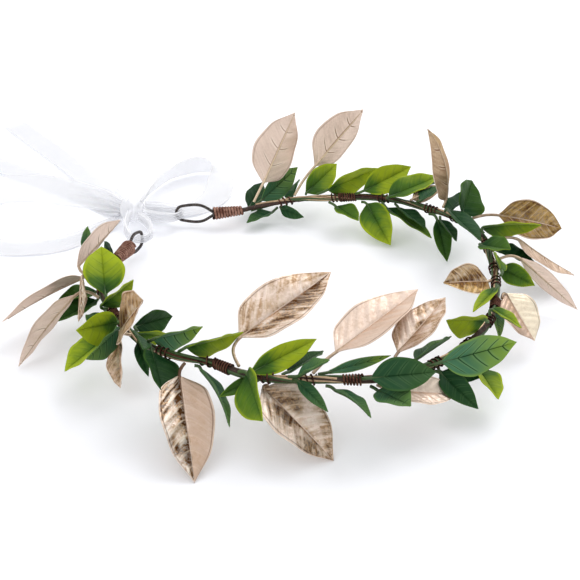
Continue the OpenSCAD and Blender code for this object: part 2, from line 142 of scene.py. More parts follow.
class GoldLeafSettings(bpy.types.PropertyGroup):
    light: colour("Front, light", "Champagne where a front catches the light", (0.77, 0.64, 0.56))
    cream: colour("Front, cream", "Pale gold of the palest halves", (0.93, 0.84, 0.66))
    gold: colour("Front, gold", "Brown gold of the brownest leaves", (0.40, 0.265, 0.100))
    gold_brown: colour("Front, gold brown", "Shade on brown gold", (0.22, 0.135, 0.042))
    satin: colour("Front, satin", "Pinkish beige of the smooth halves", (0.50, 0.36, 0.275))
    brown: colour("Front, brown", "Half way from the light to the shade", (0.46, 0.315, 0.195))
    dark: colour("Front, dark", "Brown in the shade between the ribs", (0.082, 0.032, 0.009))
    # painted_glint: a painted highlight, near white where the foil would catch the light
    painted_glint: colour("Front, glint", "Where the foil catches the light", (1.0, 0.95, 0.88))
    # rib: a painted highlight along the crests of the pressed ribs
    rib: colour("Front, rib", "Pale gold of the pressed ribs", (0.84, 0.72, 0.57))
    rim: colour("Front, rim", "Pale edge and midrib", (0.74, 0.62, 0.53))
    back: colour("Back", "Satin pinkish beige of the backs", (0.775, 0.63, 0.54))
    back_dark: colour("Back, dark", "Shade beside the veins of the backs", (0.22, 0.115, 0.055))
    # back_painted_glint: a painted highlight beside the veins
    back_painted_glint: colour("Back, glint", "Light beside the veins", (0.88, 0.78, 0.68))
    back_rim: colour("Back, rim", "Pale edge of the backs", (0.74, 0.62, 0.54))
    stalk: colour("Stalk", "Coated wire of the stalks", (0.68, 0.54, 0.38))
    stalk_dark: colour("Stalk, dark", "Stalks with a brown coat", (0.13, 0.065, 0.038))
    thickness: length("Thickness", "Thickness of the coated fabric", 0.5 * MM)
    relief: length("Rib relief", "How deep the ribs are pressed", 0.22 * MM)
    wave: length("Edge wave", "How far the edges rise and fall", 0.4 * MM)
    ribs: whole("Ribs", "Pairs of ribs on a leaf", 7, 3, 12)
    fullness: factor("Fullness", "How much rounder both ends are than the solid's", 0.30, 0, 0.4)


class GreenLeafSettings(bpy.types.PropertyGroup):
    dark: colour("Dark green", "Deep green of the older leaves", (0.006, 0.036, 0.009))
    middle: colour("Middle green", "Between the dark and the lime", (0.066, 0.145, 0.014))
    lime: colour("Lime", "Young leaves, margins and tips", (0.300, 0.385, 0.016))
    cool: colour("Bluish green", "Older leaves with a bluish bloom", (0.062, 0.170, 0.088))
    cool_tip: colour("Bluish, tip", "Tips of the bluish leaves", (0.22, 0.34, 0.03))
    # painted_vein_highlight: a painted highlight on the green beside each vein
    painted_vein_highlight: colour("Beside veins", "Paler green beside the veins", (0.16, 0.30, 0.12))
    back: colour("Back", "Paler green of the backs", (0.055, 0.135, 0.045))
    back_vein: colour("Back, veins", "Pale veins of the backs", (0.20, 0.34, 0.12))
    stalk: colour("Stalk", "Green brown of the stalks", (0.022, 0.050, 0.016))
    thickness: length("Thickness", "Thickness of a leaf", 0.55 * MM)
    relief: length("Vein relief", "How deep the veins are pressed", 0.07 * MM)
    wave: length("Edge wave", "How far the edges rise and fall", 0.45 * MM)
    ribs: whole("Veins", "Pairs of side veins", 5, 3, 12)
    fullness: factor("Fullness", "How much rounder both ends are than the solid's", 0.16, 0, 0.4)


class StemSettings(bpy.types.PropertyGroup):
    tape: colour("Tape", "Brown paper tape round the stem", (0.075, 0.034, 0.022))
    # tape_dark: darker clouds on the tape, and the painted shade under each turn's edge
    tape_dark: colour("Tape, dark", "Tape in the folds of its turns", (0.012, 0.008, 0.006))
    tape_worn: colour("Tape, worn", "Tape where it is stretched", (0.17, 0.085, 0.055))
    cord: colour("Cord", "Red brown cord that binds the eyes", (0.25, 0.105, 0.072))
    # cord_painted_highlight: a painted highlight on the top of each turn of cord
    cord_painted_highlight: colour("Cord, pale", "Cord where a turn stands out", (0.50, 0.29, 0.22))
    wrap: colour("Wrap", "Dark red brown wire that ties the bundle", (0.085, 0.030, 0.020))
    # wrap_painted_highlight: a painted highlight on the top of each turn of tie wire
    wrap_painted_highlight: colour("Wrap, pale", "Tie wire where a turn stands out", (0.20, 0.09, 0.06))
    wire: colour("Eye wire", "Dark grey brown covered wire", (0.026, 0.020, 0.018))
    thread: colour("Eye thread", "Pale thread round the eye wire", (0.30, 0.26, 0.24))
    gold_wire: colour("Leaf wire", "Pale gold wire along the stem", (0.66, 0.50, 0.33))
    gold_wire_dark: colour("Leaf wire, dark", "Browner patches of it", (0.30, 0.18, 0.10))
    core_d: length("Core diameter", "Taped core inside the bundle", 2.1 * MM)
    tape_turn: length("Tape turn", "From one turn of the tape to the next", 4.2 * MM)
    tape_ridge: length("Tape ridge", "How far a turn's edge stands up", 0.25 * MM)
    thread_turn: length("Thread turn", "From one turn of the eyes' thread to the next", 1.3 * MM)
    cord_d: length("Cord diameter", "Thickness of the binding cord", 1.5 * MM)
    wrap_d: length("Wrap diameter", "Thickness of the wire that ties the bundle", 0.75 * MM)
    wire_d: length("Leaf wire diameter", "Thickness of the wires along the stem", 1.0 * MM)
    stalk_d: length("Stalk diameter", "Thickness of the stalks along the stem", 1.05 * MM)
    strands: whole("Strands", "Stalks and wires bound along the stem", 42, 4, 80)
    wraps: whole("Wraps", "Places where wire ties the bundle", 20, 2, 40)


class RibbonSettings(bpy.types.PropertyGroup):
    cloth: colour("Cloth", "Sheer white ribbon, one layer", (0.91, 0.92, 0.95))
    # gathered: a paler, sheerer copy of the cloth for the ties and knot, painted light that lifts the
    # shade of their layers
    gathered: colour("Gathered cloth", "Ribbon where its layers lie close", (0.93, 0.94, 0.98))
    width: length("Width", "Width of the ribbon laid flat", 15 * MM)
    thickness: length("Thickness", "Thickness of the cloth", 0.25 * MM)
    ripple: length("Ripple", "Height of the soft waves along it", 0.5 * MM)
    cover: factor("Cover", "How much of what is behind the cloth it hides", 0.44, 0.05, 1)


class StageSettings(bpy.types.PropertyGroup):
    floor: colour("Floor", "Plain pale floor", (0.94, 0.955, 1.0))
    lens: FloatProperty(
        name="Lens", description="Focal length of the camera", subtype="DISTANCE_CAMERA",
        min=20, max=200, default=85.84,
    )
    sky: FloatProperty(
        name="Sky light", description="Strength of the light from all round",
        min=0, max=5, default=1.14,
    )
    key: FloatProperty(
        name="Key light", description="Power of the large soft light", unit="POWER",
        min=0, max=500, default=8.5,
    )


class Amount:
    """A number that varies over a surface or along a line. Sums on it add their Math nodes."""

    def __init__(self, owner, socket):
        self.owner = owner
        self.socket = socket

    def sum(self, operation, first, second):
        return self.owner.node("ShaderNodeMath", {"operation": operation}, {0: first, 1: second})

    def __add__(self, other):
        return self.sum("ADD", self, other)

    def __radd__(self, other):
        return self.sum("ADD", other, self)

    def __sub__(self, other):
        return self.sum("SUBTRACT", self, other)

    def __rsub__(self, other):
        return self.sum("SUBTRACT", other, self)

    def __mul__(self, other):
        return self.sum("MULTIPLY", self, other)

    def __rmul__(self, other):
        return self.sum("MULTIPLY", other, self)

    def __truediv__(self, other):
        return self.sum("DIVIDE", self, other)

    def __pow__(self, other):
        return self.sum("POWER", self, other)

    def __abs__(self):
        return self.sum("ABSOLUTE", self, 0.0)

    def fraction(self):
        return self.sum("FRACT", self, 0.0)

    def cosine(self):
        return self.sum("COSINE", self, 0.0)

    def sine(self):
        return self.sum("SINE", self, 0.0)

    def least(self, other):
        return self.sum("MINIMUM", self, other)

    def most(self, other):
        return self.sum("MAXIMUM", self, other)

    def clamped(self):
        return self.most(0.0).least(1.0)


class Nodes:
    """A node tree. Its one method adds any node, with its settings first and then its sockets."""

    def __init__(self, tree):
        self.tree = tree

    def node(self, kind, settings, sockets, out=0):
        made = self.tree.nodes.new(kind)
        for name, value in settings.items():
            if name == "stops":
                ramp = made.color_ramp.elements
                while len(ramp) < len(value):
                    ramp.new(0.5)
                for stop, (place, shade) in zip(ramp, value):
                    stop.position = place
                    stop.color = (*shade, 1)
            else:
                setattr(made, name, value)
        for name, value in sockets.items():
            self.join(value, made.inputs[name])
        return Amount(self, made.outputs[out])

    def join(self, value, socket):
        if isinstance(value, Amount):
            self.tree.links.new(value.socket, socket)
        elif hasattr(value, "__len__") and not isinstance(value, str) and socket.type == "RGBA":
            socket.default_value = (*value, 1)
        else:
            socket.default_value = value


class Finish(Nodes):
    """A material. What is the same all over it is set on its shader's own sockets."""

    def __init__(self, name, steady):
        self.material = bpy.data.materials.new(name)
        self.material.use_nodes = True
        super().__init__(self.material.node_tree)
        self.shader = self.tree.nodes["Principled BSDF"]
        for socket, value in steady.items():
            self.join(value, self.shader.inputs[socket])

    def set(self, socket, value):
        self.join(value, self.shader.inputs[socket])

    def blend(self, share, first, second):
        """The first colour where the share is 0, and the second where it is 1."""
        return self.node(
            "ShaderNodeMix", {"data_type": "RGBA"}, {0: share, 6: first, 7: second}, out=2
        )

    def step(self, value, low, high):
        """A soft step from 0 at the low value to 1 at the high one."""
        return self.node(
            "ShaderNodeMapRange", {"interpolation_type": "SMOOTHSTEP"},
            {"Value": value, "From Min": low, "From Max": high},
        )

    def band(self, value, low, full, fades, ends):
        """A soft step up, and a soft step down again."""
        return self.step(value, low, full) * (1 - self.step(value, fades, ends))

    def ladder(self, share, first, second, third):
        """The first colour where the share is 0, the second at a half and the third at 1."""
        low = self.blend((share * 2.0).clamped(), first, second)
        return self.blend((share * 2.0 - 1.0).clamped(), low, third)

    def fact(self, name):
        return self.node("ShaderNodeAttribute", {"attribute_name": name}, {}, out="Fac")

    def place(self):
        return self.node("ShaderNodeTexCoord", {}, {}, out="Object")

    def vector(self, x, y, z):
        return self.node("ShaderNodeCombineXYZ", {}, {0: x, 1: y, 2: z})

    def noise(self, scale, detail=3.0, at=None):
        return self.node("ShaderNodeTexNoise", {}, {
            "Vector": at or self.place(), "Scale": scale, "Detail": detail,
        })

    def spread(self):
        """How far along its leaf or ribbon a point lies, and how far across it."""
        both = self.node("ShaderNodeUVMap", {"uv_map": "spread"}, {})
        return [self.node("ShaderNodeSeparateXYZ", {}, {0: both}, out=way) for way in "XY"]

    def done(self, tint, roughness, relief, depth, strength):
        """The finished material, with its colour, how rough it is and how deep its relief is."""
        self.set("Base Color", tint)
        self.set("Roughness", roughness)
        self.set("Normal", self.node(
            "ShaderNodeBump", {}, {"Height": relief, "Distance": depth, "Strength": strength}
        ))
        return self.material


class LeafFinish(Finish):
    """One face of a leaf: the beat of its ribs, brushing along them, and each half's tone."""

    def __init__(self, name, ribs, steady):
        super().__init__(name, steady)
        self.along, self.across = self.spread()
        self.side = abs(self.across * 2.0 - 1.0)
        self.from_midrib = rib_place(self.along, self.side)
        self.pleat = (self.from_midrib * ribs).fraction()
        self.beat = abs(self.pleat - 0.5) * 2.0
        self.tone = self.fact("tone")

    def brushed(self, detail, reach, over, half=0.0, shift=0.0, way=None):
        """Noise drawn out along the ribs, which differs from leaf to leaf and half to half."""
        own = self.fact("seed") * 20.0 + shift
        across = self.side * over + self.step(self.across, 0.49, 0.51) * half
        return self.noise(1.0, detail, self.vector((way or self.from_midrib) * reach, across, own))


class Growth(Nodes):
    """A geometry node tree that grows something along a line, with named inputs for its sizes."""

    def __init__(self, name, inputs):
        super().__init__(bpy.data.node_groups.new(name, "GeometryNodeTree"))
        face = self.tree.interface
        face.new_socket("Line", in_out="INPUT", socket_type="NodeSocketGeometry")
        for label, kind in inputs.items():
            face.new_socket(label, in_out="INPUT", socket_type="NodeSocket" + kind)
        face.new_socket("Material", in_out="INPUT", socket_type="NodeSocketMaterial")
        face.new_socket("Geometry", in_out="OUTPUT", socket_type="NodeSocketGeometry")
        self.start = self.tree.nodes.new("NodeGroupInput")

    def given(self, label):
        return Amount(self, self.start.outputs[label])

    def keep(self, geometry, name, value, kind="FLOAT"):
        """Stores a value on every point, for the shape's later steps and for its material."""
        return self.node(
            "GeometryNodeStoreNamedAttribute", {"data_type": kind, "domain": "POINT"},
            {"Geometry": geometry, "Name": name, "Value": value},
        )

    def kept(self, name, kind="FLOAT"):
        return self.node("GeometryNodeInputNamedAttribute", {"data_type": kind}, {"Name": name})

    def place(self):
        return self.node("GeometryNodeInputPosition", {}, {})

    def curve(self, mode, name, value):
        """The line that the tree is given, with its points set anew."""
        curve = self.node("GeometryNodeMeshToCurve", {}, {"Mesh": self.given("Line")})
        return self.node("GeometryNodeResampleCurve", {"mode": mode}, {"Curve": curve, name: value})

    def on_curve(self, way):
        """How far along its curve a point is, in metres for Length and as a share for Factor."""
        return self.node("GeometryNodeSplineParameter", {}, {}, out=way)

    def moved(self, geometry, offset):
        return self.node("GeometryNodeSetPosition", {}, {"Geometry": geometry, "Offset": offset})

    def scaled(self, vector, size):
        return self.node(
            "ShaderNodeVectorMath", {"operation": "SCALE"}, {"Vector": vector, "Scale": size}
        )

    def sweep(self, curve, radius, sides):
        """A tube along a curve, with how far along and how far round kept on its points."""
        curve = self.keep(curve, "along", self.on_curve("Length"))
        curve = self.keep(curve, "share", self.on_curve("Factor"))
        ring = self.node(
            "GeometryNodeCurvePrimitiveCircle", {"mode": "RADIUS"},
            {"Resolution": sides, "Radius": radius},
        )
        ring = self.keep(ring, "round", self.on_curve("Factor"))
        return self.node(
            "GeometryNodeCurveToMesh", {},
            {"Curve": curve, "Profile Curve": ring, "Fill Caps": True},
        )

    def close(self, geometry):
        """Makes the instances real, gives them their material and ends the tree."""
        smooth = self.node(
            "GeometryNodeSetShadeSmooth", {}, {"Geometry": geometry, "Shade Smooth": True}
        )
        real = self.node("GeometryNodeRealizeInstances", {}, {"Geometry": smooth})
        painted = self.node(
            "GeometryNodeSetMaterial", {}, {"Geometry": real, "Material": self.given("Material")}
        )
        end = self.tree.nodes.new("NodeGroupOutput")
        self.join(painted, end.inputs[0])
        return self.tree


def taped_tube():
    """A tube wrapped in tape: each turn's edge stands up a little over the turn before."""
    make = Growth("taped_tube", {
        "Radius": "Float", "Turn": "Float", "Ridge": "Float", "Taper": "Float", "Step": "Float",
        "Sides": "Int",
    })
    curve = make.curve("LENGTH", "Length", make.given("Step"))
    tube = make.sweep(curve, make.given("Radius"), make.given("Sides"))
    lift = (make.kept("along") / make.given("Turn") + make.kept("round")).fraction()
    ends = abs(make.kept("share") * 2.0 - 1.0) ** 4.0
    height = lift * make.given("Ridge") - ends * make.given("Taper")
    outward = make.node("GeometryNodeInputNormal", {}, {})
    return make.close(make.moved(tube, make.scaled(outward, height)))


def wound_cord():
    """A cord wound round a line, on a core that may be thicker at one end."""
    make = Growth("wound_cord", {
        "Turns": "Float", "Begins": "Float", "Core at start": "Float", "Core at end": "Float",
        "Cord radius": "Float", "Steps": "Int", "Sides": "Int",
    })
    curve = make.curve("COUNT", "Count", make.given("Steps"))
    share = make.on_curve("Factor")
    angle = (share * make.given("Turns") + make.given("Begins")) * FULL_TURN
    core = make.given("Core at start") * (1 - share) + make.given("Core at end") * share
    reach = core + make.given("Cord radius")
    ahead = make.node("GeometryNodeInputTangent", {}, {})
    up = make.node("GeometryNodeInputNormal", {}, {})
    side = make.node("ShaderNodeVectorMath", {"operation": "CROSS_PRODUCT"}, {0: ahead, 1: up})
    offset = make.node("ShaderNodeVectorMath", {"operation": "ADD"}, {
        0: make.scaled(up, angle.cosine() * reach), 1: make.scaled(side, angle.sine() * reach),
    })
    curve = make.keep(make.keep(curve, "reach", reach), "axis", make.place(), "FLOAT_VECTOR")
    cord = make.sweep(make.moved(curve, offset), make.given("Cord radius"), make.given("Sides"))
    out = make.node("ShaderNodeVectorMath", {"operation": "DISTANCE"}, {
        0: make.place(), 1: make.kept("axis", "FLOAT_VECTOR"),
    }, out="Value")
    rise = (out - make.kept("reach")) / make.given("Cord radius")
    return make.close(make.keep(cord, "rise", rise))


def put(name, data):
    """An object at the origin. A finished piece stays there, with its place in its mesh."""
    made = bpy.data.objects.new(name, data)
    bpy.context.scene.collection.objects.link(made)
    return made


def aimed(name, data, place, target):
    """A camera or a light at a place, turned towards a target."""
    made = put(name, data)
    made.location = place
    made.rotation_euler = (target - made.location).to_track_quat("-Z", "Y").to_euler()
    return made


def grow(name, tree, points, material, sizes):
    """Runs a tree along a line of points and returns the result as a plain mesh."""
    line = bpy.data.meshes.new(name + "_line")
    steps = [(i, i + 1) for i in range(len(points) - 1)]
    line.from_pydata([tuple(p) for p in points], steps, [])
    carrier = put(name + "_carrier", line)
    growing = carrier.modifiers.new("grow", "NODES")
    growing.node_group = tree
    wanted = {**sizes, "Material": material}
    for item in tree.interface.items_tree:
        if item.in_out == "INPUT" and item.name in wanted:
            growing[item.identifier] = wanted[item.name]
    depsgraph = bpy.context.evaluated_depsgraph_get()
    mesh = bpy.data.meshes.new_from_object(
        carrier.evaluated_get(depsgraph), preserve_all_data_layers=True, depsgraph=depsgraph
    )
    bpy.data.objects.remove(carrier)
    bpy.data.meshes.remove(line)
    if not mesh.polygons:
        raise RuntimeError(f"{name} grew nothing")
    mesh.materials.clear()
    mesh.materials.append(material)
    return mesh


def joined(name, parts, materials):
    """One mesh from several, which are removed. Each comes with the number of its material."""
    together = bmesh.new()
    for part, finish in parts:
        part.polygons.foreach_set("material_index", [finish] * len(part.polygons))
        together.from_mesh(part)
        bpy.data.meshes.remove(part)
    mesh = bpy.data.meshes.new(name)
    together.to_mesh(mesh)
    together.free()
    for material in materials:
        mesh.materials.append(material)
    mesh.shade_smooth()
    return mesh


def dressed(name, mesh, node):
    """A finished piece that stands for a CAD node and takes its finish from a material slot."""
    piece = put(name, mesh)
    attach(piece, "root")
    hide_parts(node)
    return piece


def solids_of(name):
    """A CAD node's separate solids, each as points and triangles with its doubles merged."""
    merged = bmesh.new()
    merged.from_mesh(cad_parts[name].data)
    bmesh.ops.remove_doubles(merged, verts=merged.verts, dist=SAME_POINT)
    for items in (merged.verts, merged.faces):
        items.ensure_lookup_table()
        items.index_update()
    seen = set()
    solids = []
    for first in range(len(merged.verts)):
        if first in seen:
            continue
        seen.add(first)
        island = [first]
        for at in island:
            vert = merged.verts[at]
            for edge in vert.link_edges:
                other = edge.other_vert(vert).index
                if other not in seen:
                    seen.add(other)
                    island.append(other)
        place = {v: i for i, v in enumerate(island)}
        faces = sorted({f.index for v in island for f in merged.verts[v].link_faces})
        solids.append((
            np.array([merged.verts[v].co for v in island], float),
            [[place[v.index] for v in merged.faces[f].verts] for f in faces],
        ))
    merged.free()
    return solids


def touching(points, triangles):
    """For each point, the points that an edge joins to it."""
    links = [set() for _ in points]
    for triangle in triangles:
        for point in triangle:
            links[point].update(triangle)
    return [found - {i} for i, found in enumerate(links)]


def layers_from(first, links, size):
    """Rings of points, each touching the one before. None unless all have the same size."""
    layers = [sorted(first)]
    seen = set(first)
    while True:
        beyond = sorted({n for point in layers[-1] for n in links[point]} - seen)
        if not beyond:
            return layers if len(seen) == len(links) else None
        if len(beyond) != size:
            return None
        seen.update(beyond)
        layers.append(beyond)


def shape_of(ring):
    """A ring's points round their middle, at a common size."""
    offsets = ring - ring.mean(0)
    return offsets / math.sqrt((offsets ** 2).sum() / len(ring))


def unlike(first, second):
    return float(((first - second) ** 2).sum())


def in_step(layers, points, links, size):
    """The rings as arrays, with their points in the same order round every one."""
    rings = []
    for layer in layers:
        near = {point: links[point] & set(layer) for point in layer}
        if all(len(found) == 2 for found in near.values()):
            walk = [layer[0]]
            while len(walk) < size:
                walk.append(min(near[walk[-1]] - set(walk[-2:-1]) - {walk[0]}))
        elif rings:
            # an end ring also has links across it, so its points follow the ring before
            places = dict(zip(layer, shape_of(points[layer])))
            walk = []
            for wanted in shape_of(rings[-1]):
                walk.append(min(places, key=lambda point: unlike(places[point], wanted)))
                places.pop(walk[-1])
        else:
            middle = points[layer].mean(0)
            flat = np.linalg.svd(points[layer] - middle)[2][:2]
            walk = sorted(layer, key=lambda point: math.atan2(*(flat @ (points[point] - middle))))
        ring = points[walk]
        if rings:
            before = shape_of(rings[-1])
            turns = [np.roll(way, k, axis=0) for way in (ring, ring[::-1]) for k in range(size)]
            ring = min(turns, key=lambda turn: unlike(shape_of(turn), before))
        rings.append(ring)
    return rings


def swept_rings(solid, size):
    """The rings of a swept solid with flat ends, from one end to the other."""
    points, triangles = solid
    links = touching(points, triangles)
    corners = points[np.array(triangles)]
    normals = units(np.cross(corners[:, 1] - corners[:, 0], corners[:, 2] - corners[:, 0]))
    by_edge = {}
    for i, (a, b, c) in enumerate(triangles):
        for edge in ((a, b), (b, c), (c, a)):
            by_edge.setdefault(frozenset(edge), []).append(i)
    group = list(range(len(triangles)))

    def head(i):
        while group[i] != i:
            i = group[i]
        return i

    for pair in by_edge.values():
        if len(pair) == 2 and normals[pair[0]] @ normals[pair[1]] > SAME_PLANE:
            group[head(pair[0])] = head(pair[1])
    flats = {}
    for i, triangle in enumerate(triangles):
        flats.setdefault(head(i), set()).update(triangle)
    for flat in flats.values():
        layers = layers_from(flat, links, size) if len(flat) == size else None
        if layers:
            return in_step(layers, points, links, size)
    raise RuntimeError(f"a swept solid with {size} sides has no flat end")


def leaf_rings(solid):
    """A leaf's rings from its stalk to its tip, and its tip: left, half, rib, half, right, under."""
    points, triangles = solid
    links = touching(points, triangles)
    for tip, near in enumerate(links):
        layers = layers_from([tip], links, LEAF_SIDES) if len(near) == LEAF_SIDES else None
        if layers:
            break
    else:
        raise RuntimeError("a leaf has no tip")
    rings = np.array(in_step(layers[1:], points, links, LEAF_SIDES))[::-1]
    pairs = [(i, j) for i in range(LEAF_SIDES) for j in range(i)]
    widest = max(rings, key=lambda ring: max(np.linalg.norm(ring[i] - ring[j]) for i, j in pairs))
    right, left = max(pairs, key=lambda pair: np.linalg.norm(widest[pair[0]] - widest[pair[1]]))
    if (right - left) % LEAF_SIDES == LEAF_SIDES - RIGHT:
        left, right = right, left
    if (right - left) % LEAF_SIDES != RIGHT - LEFT:
        raise RuntimeError("a leaf's edges aren't where they should be")
    return np.roll(rings, -left, axis=1), points[tip]


class Line:
    """A natural cubic spline through some points, which lie at increasing values."""

    def __init__(self, at, points):
        at = np.asarray(at, float)
        points = np.asarray(points, float)
        count = len(at)
        gaps = np.diff(at)
        weights = np.eye(count)
        turns = np.zeros((count,) + points.shape[1:])
        for i in range(1, count - 1):
            weights[i, i - 1:i + 2] = gaps[i - 1], 2 * (gaps[i - 1] + gaps[i]), gaps[i]
            turns[i] = 6 * (
                (points[i + 1] - points[i]) / gaps[i] - (points[i] - points[i - 1]) / gaps[i - 1]
            )
        self.at, self.points, self.gaps = at, points, gaps
        self.bends = np.linalg.solve(weights, turns)

    def __call__(self, where):
        where = np.asarray(where, float)
        i = np.clip(np.searchsorted(self.at, where, side="right") - 1, 0, len(self.gaps) - 1)
        gap = self.gaps[i]
        b = (where - self.at[i]) / gap
        if self.points.ndim > 1:
            gap = gap[..., None]
            b = b[..., None]
        a = 1 - b
        return (
            a * self.points[i] + b * self.points[i + 1]
            + ((a ** 3 - a) * self.bends[i] + (b ** 3 - b) * self.bends[i + 1]) * gap ** 2 / 6
        )


def steps_along(points):
    """How far along a line of points each one is."""
    return np.concatenate([[0], np.cumsum(np.linalg.norm(np.diff(points, axis=0), axis=1))])


def finer(points, count):
    """A line of points made smooth and finer."""
    at = steps_along(points)
    return Line(at, points)(np.linspace(0, at[-1], count))


def rings_of(name, size):
    """The rings of a CAD node that is one swept solid."""
    return swept_rings(solids_of(name)[0], size)


def units(vectors):
    return vectors / np.maximum(np.linalg.norm(vectors, axis=-1, keepdims=True), 1e-12)


def bounded(values):
    return np.clip(values, 0, 1)


def middles(rings):
    return np.array([ring.mean(0) for ring in rings])


def radius_of(ring):
    return float(np.linalg.norm(ring - ring.mean(0), axis=1).mean())


class Gathering:
    """Points and faces of one piece, gathered part by part, with each corner's place on it."""

    def __init__(self):
        self.points = []
        self.faces = []
        self.corners = []
        self.finishes = []
        self.facts = {"tone": [], "seed": []}

    def add(self, points, faces, corners, finish, tone=0.0, seed=0.0):
        first = len(self.points)
        self.points.extend(points)
        self.faces.extend([first + i for i in face] for face in faces)
        self.corners.extend(corners)
        self.finishes.extend([finish] * len(faces) if isinstance(finish, int) else finish)
        self.facts["tone"].extend(np.broadcast_to(tone, len(points)).tolist())
        self.facts["seed"].extend([seed] * len(points))

    def mesh(self, name, materials):
        mesh = bpy.data.meshes.new(name)
        mesh.from_pydata([tuple(p) for p in self.points], [], self.faces)
        for material in materials:
            mesh.materials.append(material)
        mesh.polygons.foreach_set("material_index", self.finishes)
        spread = mesh.uv_layers.new(name="spread")
        spread.data.foreach_set("uv", [x for face in self.corners for pair in face for x in pair])
        for label, values in self.facts.items():
            kept = mesh.attributes.new(label, "FLOAT", "POINT")
            kept.data.foreach_set("value", values)
        mesh.update()
        mesh.shade_smooth()
        mesh.set_sharp_from_angle(angle=math.radians(50))
        return mesh


def at_corners(faces, spots):
    return [[spots[i] for i in face] for face in faces]


def tube_faces(rows, sides, spot):
    """Faces of a closed tube and their corners. Its two end points come after its rings."""
    faces, corners = [], []
    for i in range(rows - 1):
        for k in range(sides):
            a, b = i * sides + k, i * sides + (k + 1) % sides
            faces.append([a, b, b + sides, a + sides])
            corners.append([spot(i, k), spot(i, k + 1), spot(i + 1, k + 1), spot(i + 1, k)])
    last = (rows - 1) * sides
    ends = rows * sides
    for k in range(sides):
        after = (k + 1) % sides
        faces.extend([[after, k, ends], [last + k, last + after, ends + 1]])
        corners.extend([[spot(0, 0)] * 3, [spot(rows - 1, 0)] * 3])
    return faces, corners


def tube_part(gathering, points, radii, sides, finish, tone=0.0, seed=0.0):
    """A closed round tube along a line of points."""
    ways = units(np.gradient(points, axis=0))
    side = np.cross(ways[0], [0, 0, 1.0])
    if np.linalg.norm(side) < 1e-3:
        # the line starts straight up
        side = np.cross(ways[0], [0, 1.0, 0])
    turns = FULL_TURN * np.arange(sides)[:, None] / sides
    rings = []
    for way, point, radius in zip(ways, points, radii):
        side = units(side - (side @ way) * way)
        up = np.cross(side, way)
        rings.append(point + radius * (np.cos(turns) * side + np.sin(turns) * up))
    far = steps_along(points)
    far = far / far[-1]
    faces, corners = tube_faces(len(points), sides, lambda i, k: (far[i], k / sides))
    verts = np.concatenate([*rings, [points[0]], [points[-1]]])
    gathering.add(verts, faces, corners, finish, tone, seed)


def across_leaf(share):
    """How much of the fold's height a leaf has reached, from its rib out to its edge."""
    return 1.35 * share - 0.35 * share ** 2


def rib_place(along, side, sweep=0.42):
    """Where the rib through a point leaves the midrib. Ribs sweep forward, along the edge."""
    return along - sweep * side ** 1.5 * (1 - along) ** 0.8


def blade_faces(rows, width):
    """Faces and finishes of a closed blade: front, back and rim. Its points are the rows of its
    front, then those of its back, then its tip."""
    total = rows * width
    last = total - width
    tip = 2 * total
    faces, finishes = [], []
    for row in range(0, last, width):
        for p in range(row, row + width - 1):
            q = p + width
            faces.append([p, q, q + 1, p + 1])
            faces.append([total + p, total + p + 1, total + q + 1, total + q])
            finishes.extend([FRONT, BACK])
        for p, turn in ((row, 1), (row + width - 1, -1)):
            faces.append([p, total + p, total + p + width, p + width][::turn])
            finishes.append(FRONT)
    for p in range(last, total - 1):
        faces.append([p, tip, p + 1])
        faces.append([total + p + 1, tip, total + p])
        finishes.extend([FRONT, BACK])
    for p, turn in ((last, 1), (total - 1, -1)):
        faces.append([p, total + p, tip][::turn])
        finishes.append(FRONT)
    faces.append([*range(width), *range(total + width - 1, total - 1, -1)])
    finishes.append(FRONT)
    return faces, finishes


